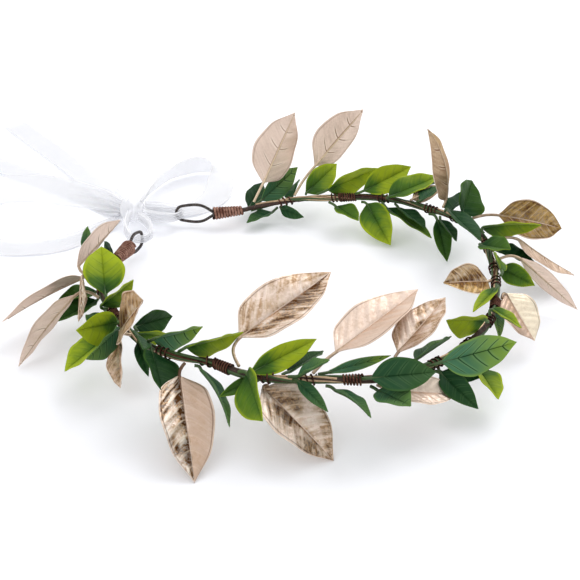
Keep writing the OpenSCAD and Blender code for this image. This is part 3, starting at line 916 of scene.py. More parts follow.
def leaf_part(gathering, solid, look, tone, seed, rows, columns, crease):
    """One leaf over its solid: a thin blade with pressed ribs, and its stalk on under it."""
    rings, tip = leaf_rings(solid)
    blade = rings[STALK_RINGS:]
    rise = units(blade[:, RIB] - blade[:, UNDER])
    middle = np.concatenate([0.6 * blade[:, RIB] + 0.4 * blade[:, UNDER], [tip]])
    at = steps_along(middle)
    at = at / at[-1]
    centre_line, left_line, right_line, rise_line = (Line(at, points) for points in (
        middle, np.concatenate([blade[:, LEFT], [tip]]), np.concatenate([blade[:, RIGHT], [tip]]),
        np.concatenate([rise, rise[-1:]]),
    ))

    along = np.linspace(0, 1, rows + 1)[:-1]
    across = np.linspace(-1, 1, columns + 1)
    s, v = np.meshgrid(along, across, indexing="ij")
    centre, lefts, rights = centre_line(s), left_line(s), right_line(s)
    sides = units(rights - lefts)
    ups = units(rise_line(s))
    ups = units(ups - (ups * sides).sum(-1, keepdims=True) * sides)
    fold = (((lefts + rights) / 2 - centre) * ups).sum(-1)

    # both ends are rounder than the solid's, and the edges rise and fall in soft waves
    wide = np.linalg.norm(rights - lefts, axis=-1) / 2
    at_base = np.exp(-((s - 0.10) / 0.11) ** 2)
    at_tip = 0.7 * np.exp(-((s - 0.80) / 0.14) ** 2)
    wide = wide * (1 + look.fullness * (at_base + at_tip))
    share = np.abs(v)
    left_beat, right_beat, more_waves = np.random.default_rng(seed).uniform(0, 1, 3)
    wave = (1.6 + more_waves) * s + np.where(v < 0, left_beat, right_beat)
    ripple = look.wave * share ** 2 * np.sin(FULL_TURN * wave) * np.minimum(1, wide / (5 * MM))

    # ribs are pressed in between the midrib and the margin, and the midrib is a groove
    rib = np.abs((rib_place(s, share) * look.ribs) % 1.0 - 0.5) * 2
    inside = bounded((1 - share) / 0.25) * bounded(s * 8) * bounded((1 - s) * 6)
    press = look.relief * (np.cos(math.pi * (rib - 1)) * 0.5 - 0.5) * inside * bounded(share * 5)
    groove = -crease * np.exp(-((share * wide) / (0.8 * MM)) ** 2) * bounded((1 - s) * 5)
    height = fold * across_leaf(share) + ripple + press + groove

    sheet = centre + sides * (wide * v)[..., None] + ups * height[..., None]
    normals = units(np.cross(np.gradient(sheet, axis=1), np.gradient(sheet, axis=0)))
    normals = normals * np.sign((normals * ups).sum(-1, keepdims=True))
    wall = normals * (look.thickness / 2 * (1 - 0.55 * share ** 6))[..., None]
    top = sheet + wall
    points = np.concatenate([top.reshape(-1, 3), (sheet - wall).reshape(-1, 3), [tip]])
    tones = np.where(v < 0, tone[0], tone[1]).ravel()
    tones = np.concatenate([tones, tones, [(tone[0] + tone[1]) / 2]])
    faces, finishes = blade_faces(rows, columns + 1)
    if np.cross(top[3, 1] - top[3, 0], top[4, 0] - top[3, 0]) @ ups[3, 0] > 0:
        faces = [face[::-1] for face in faces]
    spots = [(float(a), float((b + 1) / 2)) for a in along for b in across]
    own = seed % 17 / 17
    corners = at_corners(faces, [*spots, *spots, (1.0, 0.5)])
    gathering.add(points, faces, corners, finishes, tones, own)

    shares = np.linspace(0, 0.93, 30)
    under = look.thickness / 2 + crease * 0.6
    keel = centre_line(shares) - units(rise_line(shares)) * under
    path = np.concatenate([middles(rings[:STALK_RINGS]), keel[1:]])
    smooth = finer(path, 60)
    far = steps_along(smooth)
    meets = steps_along(path)[STALK_RINGS]
    on_blade = bounded((far - meets) / (far[-1] - meets))
    radii = radius_of(rings[0]) * (0.98 - 0.76 * on_blade ** 0.6)
    tube_part(gathering, smooth, radii, 10, LEAF_STALK, tone[2], own)


def gold_front(look):
    """Pressed metallic foil: brushed light and dark along the ribs, fine glitter, a pale rim, painted
    shade in the grooves and beside the midrib, and painted highlights on the ribs and in glints.
    """
    finish = LeafFinish("gold_front", look.ribs, {
        "Metallic": 0.85, "Specular Tint": (0.85, 0.56, 0.34),
    })
    side, beat = finish.side, finish.beat
    brush = finish.brushed(3.0, 24.0, 1.3, 7.0)
    broad = finish.brushed(2.0, 7.0, 1.2, 5.0, 9.0)
    patch = finish.step(finish.brushed(1.0, 3.2, 1.6, 5.0, 4.0, finish.along), 0.38, 0.60)
    cells = finish.node(
        "ShaderNodeTexVoronoi", {"feature": "F1"},
        {"Vector": finish.place(), "Scale": 1150.0}, out="Color",
    )
    grain = finish.node("ShaderNodeSeparateColor", {}, {0: cells}, out=0)

    # the ground by the half's tone: cream, pale, satin or brown gold
    pale = (finish.tone * -1.0).most(0.0)
    tone = finish.tone.most(0.0)
    gilt = finish.step(tone, 0.90, 0.99)
    smooth = finish.band(tone, 0.10, 0.40, 0.43, 0.50)
    ground = finish.blend(smooth * 0.85, look.light, look.satin)
    ground = finish.blend(pale, finish.blend(gilt, ground, look.gold), look.cream)

    # brown beside the midrib, in streaks and stripes along the ribs, and in patches: the stripes are
    # painted shade in the pressed grooves between the ribs, and the brown beside the midrib is
    # painted shade in its crease
    strong = tone * tone * (1 - smooth * 0.7) * (1 - gilt * 0.55)
    streak = 1 - finish.step(broad * 0.75 + brush * 0.85, 0.55, 0.98)
    # heart: painted shade in the crease beside the midrib
    heart = (1 - finish.step(side, 0.0, 0.60)) * strong * (0.25 + brush * 0.65)
    # painted shade in the pressed grooves between the ribs
    groove_shade = finish.band(finish.pleat, 0.0, 0.30, 0.35, 0.95)
    groove_shade = groove_shade * (0.2 + brush) * finish.step(broad, 0.36, 0.60)
    dark = streak * (0.04 + strong * 0.90) + groove_shade * (0.02 + strong * 0.65)
    dark = (dark + heart + tone * 0.10) * (0.45 + patch * 0.95) + patch * strong * 0.18
    dark = dark + (grain - 0.5) * (0.14 + strong * 0.80)
    brown = finish.blend(gilt, look.brown, look.gold_brown)
    shade = finish.ladder(dark, ground, brown, look.dark)

    # painted glints, painted highlights on the ribs, a dark line inside the margin, and the pale rim
    painted_glint_mask = finish.step(brush * 0.7 + grain * 0.4, 0.48, 0.70)
    painted_glint_mask = painted_glint_mask * (1 - streak * 0.75) * (1 - gilt * 0.7) * (1 - patch * 0.65)
    shade = finish.blend(painted_glint_mask * (0.12 + strong * 0.90).least(0.9), shade, look.painted_glint)
    # a painted highlight along the crest of each rib
    rib = finish.step(beat, 0.84, 0.98) * (1 - finish.step(side, 0.80, 0.97))
    shade = finish.blend(rib * (0.12 + strong * 0.40) * (1 - gilt * 0.4), shade, look.rib)
    shade = finish.blend(finish.band(side, 0.87, 0.91, 0.92, 0.95) * 0.55, shade, look.dark)
    rim = finish.step(side, 0.93, 0.975).most(1 - finish.step(side, 0.015, 0.05))
    return finish.done(
        finish.blend(rim * 0.7, shade, look.rim), 0.33 + grain * 0.20 + brush * 0.10,
        grain * 0.5 + brush * 0.8, 0.18 * MM, 0.6,
    )


def gold_back(look):
    """Satin back of the foil, darker in soft clouds, with painted shade along the veins and a painted
    highlight beside each.
    """
    finish = LeafFinish("gold_back", look.ribs * 0.6, {
        "Metallic": 0.5, "Specular IOR Level": 0.25, "Specular Tint": (0.90, 0.74, 0.62),
    })
    side, beat = finish.side, finish.beat
    tone = finish.tone.most(0.0)
    reach = 1 - finish.step(side, 0.35, 0.60)
    vein = (finish.step(beat, 0.90, 0.96) * reach).most(1 - finish.step(side, 0.03, 0.07))
    # painted highlight beside each vein
    painted_glint = finish.step(beat, 0.72, 0.88) * reach * (1 - vein)
    brush = finish.brushed(3.0, 26.0, 1.5, 7.0)
    fine = finish.noise(1100.0, 2.0)
    cloud = brush * 0.6 + finish.noise(60.0, 2.0) * 0.7 + (fine - 0.5) * 0.3
    shade = finish.step(cloud, 0.45, 0.95)
    ground = finish.blend(finish.step(tone, 0.45, 1.0) * 0.9, look.back, look.gold)
    tint = finish.blend(shade * (0.16 + tone * 0.74), ground, look.back_dark)
    tint = finish.blend(painted_glint * (0.6 - tone * 0.5), tint, look.back_painted_glint)
    # painted shade along each vein
    tint = finish.blend(vein * (0.3 + tone * 1.6).least(0.9), tint, look.back_dark)
    line = finish.band(side, 0.87, 0.91, 0.92, 0.96)
    tint = finish.blend(line * 0.45, tint, look.back_dark)
    tint = finish.blend(finish.step(side, 0.94, 0.98) * 0.5, tint, look.back_rim)
    relief = fine * 0.6 + brush * 0.8 - vein * 1.5
    return finish.done(tint, 0.34 + fine * 0.2, relief, 0.14 * MM, 0.6)


def gold_stalk(look):
    """Coated wire, from pale gold to brown by its leaf's stalk tone."""
    finish = Finish("gold_stalk", {"Metallic": 0.6})
    grain = finish.noise(500.0)
    dark = (finish.fact("tone") + (grain - 0.5) * 0.8).clamped()
    tint = finish.blend(dark, look.stalk, look.stalk_dark)
    return finish.done(tint, 0.30 + grain * 0.25, grain, 0.1 * MM, 0.4)


def green_front(look):
    """Waxy leaf: its tone sets how lime it is, and its edge and tip are limer than its base. Its
    veins are darker, partly with painted shade, with painted highlights beside them.
    """
    finish = LeafFinish("green_front", look.ribs, {"Specular IOR Level": 0.07})
    along, side, beat = finish.along, finish.side, finish.beat
    warm = finish.tone.most(0.0)
    cool = (finish.tone * -1.0).most(0.0)
    cloud = finish.noise(130.0, 4.0)
    drift = finish.noise(60.0, 2.0) - 0.5
    brush = finish.brushed(3.0, 16.0, 2.0)
    margin = finish.step(side + (cloud - 0.5) * 0.12, 0.80, 1.0)
    tip = finish.step(along + drift * 0.3, 0.55, 1.0)
    base = 1 - finish.step(along + drift * 0.3, 0.0, 0.50)
    heart = 1 - finish.step(side, 0.0, 0.6)
    lime = warm * 0.90 + drift * (0.10 + warm * 0.40) + (brush - 0.5) * (0.08 + warm * 0.22)
    lime = lime + margin * (0.14 + warm * 0.35) + tip * warm * 0.30
    lime = lime - base * (0.06 + warm * 0.58) - heart * warm * 0.18
    tint = finish.ladder(lime, look.dark, look.middle, look.lime)
    tint = finish.blend(cool * (0.75 + cloud * 0.3), tint, look.cool)
    far = finish.step(along + drift * 0.5, 0.25, 0.95).most(margin * 0.6)
    tint = finish.blend(far * cool * (0.2 + cool * 0.70), tint, look.cool_tip)
    # veins darker, partly their own colour and partly painted shade in their pressed grooves
    vein = finish.step(beat, 0.84, 0.96) * (1 - finish.step(side, 0.70, 0.90))
    vein = vein.most(1 - finish.step(side, 0.0, 0.055))
    # a painted highlight on the green beside each vein
    beside = finish.step(beat, 0.45, 0.80) * (1 - vein) * (1 - finish.step(side, 0.6, 0.95))
    tint = finish.blend(vein * (0.12 + cool * 1.2).least(0.9), tint, look.dark)
    tint = finish.blend(beside * (0.06 + cool * 0.30), tint, look.painted_vein_highlight)
    relief = finish.noise(700.0) * 0.4 + cloud * 0.6 - vein * 1.2 + brush * 0.4
    return finish.done(tint, 0.36 + cloud * 0.20, relief, 0.22 * MM, 0.5)


def green_back(look):
    """Paler, matt back, with faint veins."""
    finish = LeafFinish("green_back", look.ribs, {"Specular IOR Level": 0.08})
    cloud = finish.noise(160.0, 4.0)
    vein = finish.step(finish.beat, 0.82, 1.0).most(1 - finish.step(finish.side, 0.0, 0.08))
    lime = (finish.tone * 0.8 + (cloud - 0.5) * 0.4).most(0.0)
    tint = finish.blend(lime, look.back, look.lime)
    tint = finish.blend(vein * 0.35, tint, look.back_vein)
    return finish.done(tint, 0.55, cloud + vein * 0.5, 0.2 * MM, 0.5)


def green_stalk(look):
    """Green brown stalk, greener under a lime leaf."""
    finish = Finish("green_stalk", {})
    cloud = finish.noise(300.0, 3.0)
    green = cloud * (0.5 + finish.fact("tone").most(0.0) * 0.5)
    return finish.done(
        finish.blend(green, look.stalk, look.middle), 0.5, cloud, 0.2 * MM, 0.5
    )


def tape_finish(look):
    """Crinkled paper tape, with painted shade under each turn's edge, and paler where it is
    stretched.
    """
    finish = Finish("paper_tape", {})
    turn = (finish.fact("along") / look.tape_turn + finish.fact("round")).fraction()
    crinkle = finish.noise(900.0, 4.0)
    cloud = finish.noise(130.0, 3.0)
    tint = finish.blend(cloud, look.tape_dark, look.tape)
    # painted shade under the raised edge of each turn
    tint = finish.blend((1 - finish.step(turn, 0.0, 0.14)) * 0.8, tint, look.tape_dark)
    tint = finish.blend(finish.step(turn, 0.80, 1.0) * crinkle * 0.7, tint, look.tape_worn)
    return finish.done(tint, 0.6 + crinkle * 0.25, crinkle + cloud * 0.6, 0.4 * MM, 0.7)


def cord_finish(name, body, pale):
    """Red brown cord, with a painted highlight where a turn stands out and painted shade in the gaps
    between the turns and in the grooves between its strands.
    """
    finish = Finish(name, {"Specular IOR Level": 0.1})
    twist = (finish.fact("along") * 900.0 + finish.fact("round") * 2.0).fraction()
    strand = abs(twist - 0.5) * 2.0
    fibre = finish.noise(1400.0, 3.0)
    rise = finish.fact("rise")
    # dark: the colour of the painted shade, a darker copy of the cord's own
    dark = tuple(x * 0.10 for x in body)
    # high: where the painted highlight lies, on the top of each turn
    high = finish.step(rise + (finish.noise(330.0, 3.0) - 0.5) * 3.0, 0.35, 1.35)
    # painted shade in the grooves between the twisted strands, and darker random fibres
    tint = finish.blend((strand * 0.4 + fibre * 0.4).least(1.0), body, dark)
    # painted shade in the gaps between the turns
    tint = finish.blend(1 - finish.step(rise + (fibre - 0.5) * 0.4, 0.2, 0.85), tint, dark)
    tint = finish.blend(high * 0.65, tint, pale)
    return finish.done(tint, 0.75, fibre - strand * 1.2, 0.3 * MM, 0.8)


def wire_finish(look):
    """Dark covered wire, with a pale thread turning round it."""
    finish = Finish("covered_wire", {"Specular IOR Level": 0.25})
    turn = (finish.fact("along") / look.thread_turn + finish.fact("round")).fraction()
    grain = finish.noise(1100.0, 3.0)
    thread = finish.band(turn, 0.55, 0.70, 0.80, 0.95) * finish.step(grain, 0.35, 0.6)
    tint = finish.blend(thread * 0.7, look.wire, look.thread)
    return finish.done(tint, 0.45 + grain * 0.25, grain, 0.2 * MM, 0.5)


def gold_wire_finish(look):
    """Pale gold wire, browner in patches."""
    finish = Finish("leaf_wire", {"Metallic": 0.75})
    grain = finish.noise(700.0, 3.0)
    tint = finish.blend(grain, look.gold_wire, look.gold_wire_dark)
    return finish.done(tint, 0.28 + grain * 0.25, grain, 0.1 * MM, 0.5)


def ribbon_finish(name, cloth, cover):
    """Sheer cloth: a fine weave of threads with clear gaps, and closer threads at both edges."""
    finish = Finish(name, {"Sheen Weight": 0.25, "Sheen Roughness": 0.4})
    along, across = finish.spread()
    warp = abs((across * 60.0).fraction() - 0.5) * 2.0
    weft = abs((along * 4000.0).fraction() - 0.5) * 2.0
    weave = warp.most(weft)
    edge = finish.step(abs(across * 2.0 - 1.0), 0.93, 0.97)
    cloud = finish.noise(60.0, 2.0)
    hides = cover * 0.55 + weave * cover * 0.5 + cloud * 0.10 + edge * 0.25
    finish.set("Alpha", hides.least(1.0))
    tint = finish.blend(edge * 0.2 + cloud * 0.2, cloth, (0.97, 0.97, 0.98))
    return finish.done(tint, 0.48, weave + cloud, 0.1 * MM, 0.4)


def floor_finish(look):
    """Nearly white floor with the faintest clouds."""
    finish = Finish("pale_floor", {})
    grain = finish.noise(30.0, 3.0)
    tint = finish.blend(grain * 0.2, look.floor, (0.96, 0.97, 0.99))
    return finish.done(tint, 0.85, grain, 0.1 * MM, 0.1)


def stem_line():
    """The stem's centre line, from its left end round the front to its right end."""
    line = middles(rings_of("stem", ROUND_SIDES))
    return line if line[0][0] < line[-1][0] else line[::-1]


class CROWN_OT_gold_leaves(bpy.types.Operator):
    """Make every metallic leaf over its solid, with its stalk"""

    bl_idname = "crown.gold_leaves"
    bl_label = "Metallic leaves"

    def execute(self, context):
        look = context.scene.crown_gold
        materials = [gold_front(look), gold_back(look), gold_stalk(look)]
        for number, tones in enumerate(GOLD_TONES, 1):
            name = f"gold_leaf_{number:02}"
            leaf = Gathering()
            leaf_part(
                leaf, solids_of(name)[0], look, tones, 100 + number,
                rows=60, columns=28, crease=0.35 * MM,
            )
            mesh = leaf.mesh(name, materials)
            dressed(f"metallic_leaf_{number:02}", mesh, name)
        return {"FINISHED"}


class CROWN_OT_green_sprigs(bpy.types.Operator):
    """Make every green sprig over its solids, with the tones of its leaves"""

    bl_idname = "crown.green_sprigs"
    bl_label = "Green sprigs"

    def execute(self, context):
        look = context.scene.crown_green
        materials = [green_front(look), green_back(look), green_stalk(look)]
        for number, tones in enumerate(SPRIG_TONES, 1):
            name = f"green_sprig_{number:02}"
            solids = sorted(solids_of(name), key=lambda solid: leaf_rings(solid)[1][0])
            if len(solids) != len(tones):
                raise RuntimeError(f"{name} has {len(solids)} leaves")
            sprig = Gathering()
            for place, (solid, tone) in enumerate(zip(solids, tones)):
                leaf_part(
                    sprig, solid, look, (tone, tone, tone), number * 10 + place,
                    rows=40, columns=16, crease=0.25 * MM,
                )
            dressed(f"sprig_{number:02}", sprig.mesh(name, materials), name)
        return {"FINISHED"}


class CROWN_OT_stem(bpy.types.Operator):
    """Bundle the taped core with stalks and wires, tied with brown wire"""

    bl_idname = "crown.stem"
    bl_label = "Bound stem"

    def execute(self, context):
        look = context.scene.crown_stem
        materials = [
            tape_finish(look), gold_wire_finish(look), green_stalk(context.scene.crown_green),
            cord_finish("wrap", look.wrap, look.wrap_painted_highlight),
        ]
        line = finer(stem_line(), STEM_POINTS)
        core = look.core_d / 2
        parts = [(grow("core", taped_tube(), line, materials[TAPE], {
            "Radius": core, "Turn": look.tape_turn, "Ridge": look.tape_ridge, "Taper": 0.0,
            "Step": 0.8 * MM, "Sides": 12,
        }), TAPE)]
        chance = np.random.default_rng(5)
        tree = wound_cord()
        for start, end, begins, finish, thick in self.strands(look, chance):
            stretch = line[int(start * (STEM_POINTS - 1)):int(end * (STEM_POINTS - 1)) + 1]
            parts.append((grow("strand", tree, stretch, materials[finish], {
                "Turns": chance.uniform(0.5, 0.9), "Begins": begins,
                "Core at start": core - thick * 0.3, "Core at end": core - thick * 0.2,
                "Cord radius": thick / 2, "Steps": 60, "Sides": 8,
            }), finish))
        for number in range(look.wraps):
            start = (number + chance.uniform(0.1, 0.7)) / look.wraps * 0.97
            first = int(start * (STEM_POINTS - 1))
            parts.append((grow("wrap", tree, line[first:first + 8], materials[TIE], {
                "Turns": chance.uniform(2.0, 4.0), "Begins": chance.uniform(0, 1),
                "Core at start": core + look.wire_d * 0.6, "Core at end": core + look.wire_d * 0.8,
                "Cord radius": look.wrap_d / 2, "Steps": 72, "Sides": 6,
            }), TIE))
        dressed("bound_stem", joined("bound_stem", parts, materials), "stem")
        self.bands(tree, line, materials[TIE])
        return {"FINISHED"}

    def strands(self, look, chance):
        """Where each strand starts and ends along the stem and round it, its finish and width."""
        lies = [(start, end, begins, GOLD_WIRE, look.wire_d) for start, end, begins in GOLD_STRETCHES]
        for number in range(look.strands):
            start = number / look.strands * 0.90 + chance.uniform(0, 0.02)
            end = min(start + chance.uniform(0.09, 0.15), 0.99)
            finish = STRAND_FINISHES[number % len(STRAND_FINISHES)]
            thick = look.stalk_d if finish == STALK else look.wire_d * 0.9
            lies.append((start, end, number * 0.382, finish, thick))
        return lies

    def bands(self, tree, line, cord):
        """Closer turns of cord where a leaf's wires are tied on."""
        radius = radius_of(rings_of("stem", ROUND_SIDES)[4])
        parts = []
        for solid in solids_of("tape_bands"):
            nearest = int(np.argmin(np.linalg.norm(line - solid[0].mean(0), axis=1)))
            stretch = line[max(nearest - 4, 0):nearest + 5]
            parts.append((grow("band", tree, stretch, cord, {
                "Turns": 6.5, "Begins": 0.3, "Core at start": radius - 0.5 * MM,
                "Core at end": radius - 0.2 * MM, "Cord radius": 0.45 * MM, "Steps": 160,
                "Sides": 10,
            }), 0))
        dressed("cord_wraps", joined("cord_wraps", parts, [cord]), "tape_bands")


class CROWN_OT_eyes(bpy.types.Operator):
    """Make the wire eyes at both ends"""

    bl_idname = "crown.eyes"
    bl_label = "Wire eyes"

    def execute(self, context):
        look = context.scene.crown_stem
        covered = wire_finish(look)
        tree = taped_tube()
        for name in ("left_eye", "right_eye"):
            rings = rings_of(name, EYE_SIDES)
            line = middles(rings)
            # both legs run on into the binding
            into = [line[0] - units(line[1] - line[0]) * 2.5 * MM]
            out = [line[-1] - units(line[-2] - line[-1]) * 2.5 * MM]
            wire = grow(name, tree, finer(np.concatenate([into, line, out]), 120), covered, {
                "Radius": radius_of(rings[3]) * 0.80, "Turn": look.thread_turn,
                "Ridge": 0.10 * MM, "Taper": 0.0, "Step": 0.35 * MM, "Sides": 16,
            })
            dressed(name + "_wire", wire, name)
        return {"FINISHED"}


class CROWN_OT_bindings(bpy.types.Operator):
    """Wind cord round the foot of each eye"""

    bl_idname = "crown.bindings"
    bl_label = "Cord bindings"

    def execute(self, context):
        look = context.scene.crown_stem
        cord = cord_finish("binding_cord", look.cord, look.cord_painted_highlight)
        cord_tree, core_tree = wound_cord(), taped_tube()
        stem = stem_line()
        for name, end in (("left_binding", stem[0]), ("right_binding", stem[-1])):
            rings = rings_of(name, ROUND_SIDES)
            if np.linalg.norm(rings[0].mean(0) - end) > np.linalg.norm(rings[-1].mean(0) - end):
                rings = rings[::-1]
            foot, far = rings[0].mean(0), rings[-1].mean(0)
            foot = foot + (foot - far) * 0.1
            thin, thick = radius_of(rings[1]), radius_of(rings[-2])
            line = np.linspace(foot, far, 30)
            turns = float(np.linalg.norm(far - foot) / (look.cord_d * 1.02))
            wound = grow(name, cord_tree, line, cord, {
                "Turns": turns, "Begins": 0.1, "Core at start": thin - look.cord_d,
                "Core at end": thick - look.cord_d, "Cord radius": look.cord_d / 2,
                "Steps": int(turns * 26), "Sides": 12,
            })
            core = grow(name + "_core", core_tree, line, cord, {
                "Radius": (thin + thick) / 2 - look.cord_d, "Turn": look.cord_d, "Ridge": 0.0,
                "Taper": 0.3 * MM, "Step": 0.5 * MM, "Sides": 16,
            })
            mesh = joined(name, [(wound, 0), (core, 0)], [cord])
            dressed(name + "_cord", mesh, name)
        return {"FINISHED"}


def ribbon_tracks(name):
    """Both edges of a ribbon's solid, from one end to the other."""
    rings = rings_of(name, RIBBON_SIDES)
    gaps = [np.linalg.norm(rings[1][k] - rings[1][k - 3]) for k in range(RIBBON_SIDES)]
    thin = 0 if gaps[0] + gaps[2] < gaps[1] + gaps[3] else 1
    turned = np.roll(rings, -thin, axis=1)
    return (turned[:, 0] + turned[:, 1]) / 2, (turned[:, 2] + turned[:, 3]) / 2


def ribbon_mesh(name, look, material, seed):
    """Cloth between both edges. Where it is narrower than it was cut, it lies in pleats."""
    left, right = ribbon_tracks(name)
    at = steps_along((left + right) / 2)
    long = at[-1]
    far = np.linspace(0, long, max(60, int(long / (1.5 * MM))))
    lefts, rights = Line(at, left)(far), Line(at, right)(far)
    middle = (lefts + rights) / 2
    sides = units(rights - lefts)
    outs = units(np.cross(sides, units(np.gradient(middle, axis=0))))

    # down the ribbon in rows, and across it in columns
    down = far[:, None]
    wide = np.linalg.norm(rights - lefts, axis=1)[:, None]
    v = np.linspace(-1, 1, 49)
    chance = np.random.default_rng(seed)
    pleats = 3.5
    gather = np.clip(look.width / wide, 1.0, 4.0)
    deep = wide / pleats / 4 * np.sqrt(gather ** 2 - 1)
    phase = chance.uniform(0, 1)
    fold = deep * np.sin(math.pi * pleats * (v + 0.12 * np.sin(down * 90)) + phase)
    slow = 0
    for waves in (18, 31, 53):
        high = chance.uniform(0.3, 1)
        turn = FULL_TURN * (down * waves + chance.uniform(0, 1))
        slow = slow + high * np.sin(turn + v * chance.uniform(-1.5, 1.5))
    calm = bounded(np.minimum(down, long - down) / (8 * MM))
    lift = look.ripple * slow * 0.5 * calm * (wide / look.width)
    sheet = middle[:, None] + sides[:, None] * (v * wide / 2)[..., None]
    sheet = sheet + outs[:, None] * (fold + lift)[..., None]
    sheet[..., 2] = np.maximum(sheet[..., 2], look.thickness)

    width = len(v)
    faces = [
        [p, p + 1, p + width + 1, p + width]
        for row in range(0, (len(far) - 1) * width, width) for p in range(row, row + width - 1)
    ]
    spots = [(a, (b + 1) / 2) for a in far for b in v]
    cloth = Gathering()
    cloth.add(sheet.reshape(-1, 3), faces, at_corners(faces, spots), 0)
    return cloth.mesh(name, [material]), float(long)


class CROWN_OT_ribbon(bpy.types.Operator):
    """Lay the sheer ribbon: its turns through the eyes, the bow's loops and the tails"""

    bl_idname = "crown.ribbon"
    bl_label = "Sheer ribbon"

    def execute(self, context):
        look = context.scene.crown_ribbon
        sheer = ribbon_finish("sheer_ribbon", look.cloth, look.cover)
        # paler, sheerer cloth for the ties: painted light that lifts the shade of their layers
        close = ribbon_finish("gathered_ribbon", look.gathered, look.cover * 0.7)
        lies = {
            "tie_left": ("gathered", ["left_eye"]),
            "tie_right": ("gathered", ["right_eye"]),
            "bow_loop_left": ("folded", ["floor"]),
            "bow_loop_right": ("folded", ["floor"]),
            "tail_long": ("laid", ["floor"]),
            "tail_short": ("laid", ["floor"]),
        }
        for seed, (name, (held, rests_on)) in enumerate(lies.items(), 40):
            cloth = close if held == "gathered" else sheer
            mesh, long = ribbon_mesh(name, look, cloth, seed)
            piece = dressed("ribbon_" + name, mesh, name)
            shell = piece.modifiers.new("thickness", "SOLIDIFY")
            shell.thickness = look.thickness
            shell.offset = 0
        return {"FINISHED"}


class CROWN_OT_knot(bpy.types.Operator):
    """Make the knot, a plump turn of folded ribbon"""

    bl_idname = "crown.knot"
    bl_label = "Ribbon knot"

    def execute(self, context):
        look = context.scene.crown_ribbon
        # paler, sheerer cloth for the knot: painted light that lifts the shade of its folds
        close = ribbon_finish("knotted_ribbon", look.gathered, look.cover * 0.9)
        rings = rings_of("ribbon_knot", ROUND_SIDES)
        line = middles(rings)
        at = steps_along(line)
        where = np.linspace(0, at[-1], 40)
        middle = Line(at, line)(where)
        size = Line(at, [radius_of(ring) for ring in rings])(where)
        share = where / at[-1]
        ways = units(np.gradient(middle, axis=0))
        side = units(np.cross(ways, [0, 0, 1.0]))
        up = np.cross(side, ways)

        # folds twist round the knot, and it is pressed in on three sides
        sides = 64
        turn = FULL_TURN * np.arange(sides) / sides
        twist = np.sin(FULL_TURN * (3.2 * share[:, None] + 0.16 * np.sin(turn)) + turn)
        dent = np.cos(turn * 3 + 0.6) * 0.05
        reach = (size[:, None] * (0.93 + 0.07 * twist + dent))[..., None]
        turn = turn[:, None]
        points = middle[:, None] + reach * (
            np.cos(turn) * side[:, None] + np.sin(turn) * up[:, None]
        )
        verts = np.concatenate([points.reshape(-1, 3), [middle[0]], [middle[-1]]])
        faces, corners = tube_faces(
            len(where), sides, lambda i, k: (k / sides * 2 * look.width, share[i])
        )
        knot = Gathering()
        knot.add(verts, faces, corners, 0)
        mesh = knot.mesh("ribbon_knot_folds", [close])
        piece = dressed("ribbon_knot_folds", mesh, "ribbon_knot")
        return {"FINISHED"}


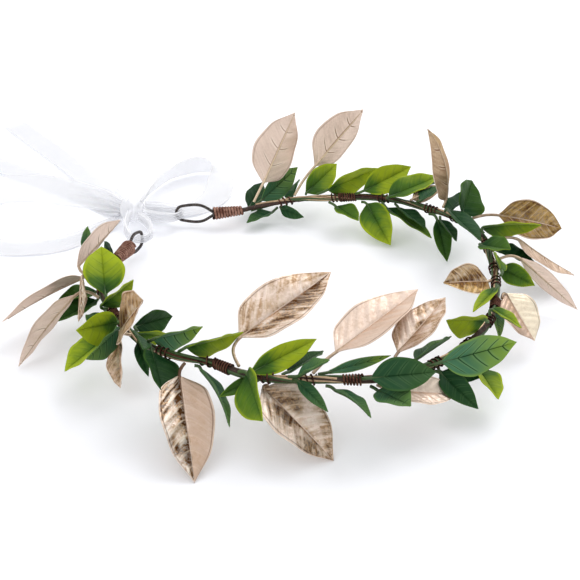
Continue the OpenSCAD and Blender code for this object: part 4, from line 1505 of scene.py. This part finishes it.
class CROWN_OT_stage(bpy.types.Operator):
    """Set the pale floor, the soft lights and the camera"""

    bl_idname = "crown.stage"
    bl_label = "Stage"

    def execute(self, context):
        look = context.scene.crown_stage
        scene = context.scene
        low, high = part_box("stem")
        middle = (low + high) / 2
        self.camera(scene, look, middle)
        self.floor(look, middle)
        self.lights(scene, look, middle)
        scene.view_settings.view_transform = "Standard"
        return {"FINISHED"}

    def camera(self, scene, look, middle):
        """Looks along +Y and down, as the photograph does."""
        target = Vector((middle.x - 4.0 * MM, middle.y - 2.3 * MM, 14.7 * MM))
        away = 650 * MM
        tilt = math.radians(30)
        view = bpy.data.cameras.new("camera")
        view.sensor_width = 36
        view.lens = look.lens
        place = target + Vector((0, -math.cos(tilt), math.sin(tilt))) * away
        scene.camera = aimed("camera", view, place, target)

    def floor(self, look, middle):
        mesh = bpy.data.meshes.new("floor")
        sheet = bmesh.new()
        bmesh.ops.create_grid(sheet, x_segments=8, y_segments=8, size=3.0)
        bmesh.ops.translate(sheet, verts=sheet.verts, vec=(middle.x, middle.y, -0.1 * MM))
        sheet.to_mesh(mesh)
        sheet.free()
        mesh.materials.append(floor_finish(look))
        put("floor", mesh)

    def lights(self, scene, look, middle):
        world = bpy.data.worlds.new("studio")
        scene.world = world
        world.use_nodes = True
        # soft panels of light overhead that fade out towards a plain horizon
        sky = Nodes(world.node_tree)
        way = sky.node("ShaderNodeTexCoord", {}, {}, out="Generated")
        height = sky.node("ShaderNodeSeparateXYZ", {}, {0: way}, out="Z")
        panels = sky.node(
            "ShaderNodeTexNoise", {}, {"Vector": way, "Scale": 2.1, "Detail": 1.0}
        ) + (0.35 - height).most(0.0)
        shade = sky.node("ShaderNodeValToRGB", {"stops": [
            (0.40, (0.35, 0.345, 0.36)), (0.52, (1.0, 0.99, 0.98)),
        ]}, {"Fac": panels})
        back = world.node_tree.nodes["Background"]
        sky.join(shade, back.inputs["Color"])
        back.inputs["Strength"].default_value = look.sky
        for name, place, size, power in (
            ("key_light", (0.55, 0.75, 1.05), 1.0, look.key),
            ("fill_light", (-0.9, -0.7, 0.9), 1.2, look.key * 0.35),
        ):
            lamp = bpy.data.lights.new(name, "AREA")
            lamp.size = size
            lamp.energy = power
            aimed(name, lamp, middle + Vector(place), middle)


class CROWN_PT_panel(bpy.types.Panel):
    """The crown's settings and the operators that make it"""

    bl_label = "Leaf crown"
    bl_idname = "CROWN_PT_panel"
    bl_space_type = "VIEW_3D"
    bl_region_type = "UI"
    bl_category = "Leaf crown"

    def draw(self, context):
        for name, label, group in GROUPS:
            box = self.layout.box()
            box.label(text=label)
            for field in group.__annotations__:
                box.prop(getattr(context.scene, name), field)
        for step in STEPS:
            self.layout.operator(step.bl_idname)


GROUPS = (
    ("crown_gold", "Metallic leaves", GoldLeafSettings),
    ("crown_green", "Green leaves", GreenLeafSettings),
    ("crown_stem", "Stem and bindings", StemSettings),
    ("crown_ribbon", "Ribbon", RibbonSettings),
    ("crown_stage", "Stage", StageSettings),
)
STEPS = (
    CROWN_OT_stage, CROWN_OT_stem, CROWN_OT_eyes, CROWN_OT_bindings, CROWN_OT_gold_leaves,
    CROWN_OT_green_sprigs, CROWN_OT_ribbon, CROWN_OT_knot,
)


def register():
    for name, _, group in GROUPS:
        bpy.utils.register_class(group)
        setattr(bpy.types.Scene, name, PointerProperty(type=group))
    for made in (*STEPS, CROWN_PT_panel):
        bpy.utils.register_class(made)


def unregister():
    for made in (CROWN_PT_panel, *reversed(STEPS)):
        bpy.utils.unregister_class(made)
    for name, _, group in reversed(GROUPS):
        delattr(bpy.types.Scene, name)
        bpy.utils.unregister_class(group)


def main():
    register()
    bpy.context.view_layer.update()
    bpy.ops.crown.stage()
    bpy.ops.crown.stem()
    bpy.ops.crown.eyes()
    bpy.ops.crown.bindings()
    bpy.ops.crown.gold_leaves()
    bpy.ops.crown.green_sprigs()
    bpy.ops.crown.ribbon()
    bpy.ops.crown.knot()


if __name__ == "__main__":
    main()
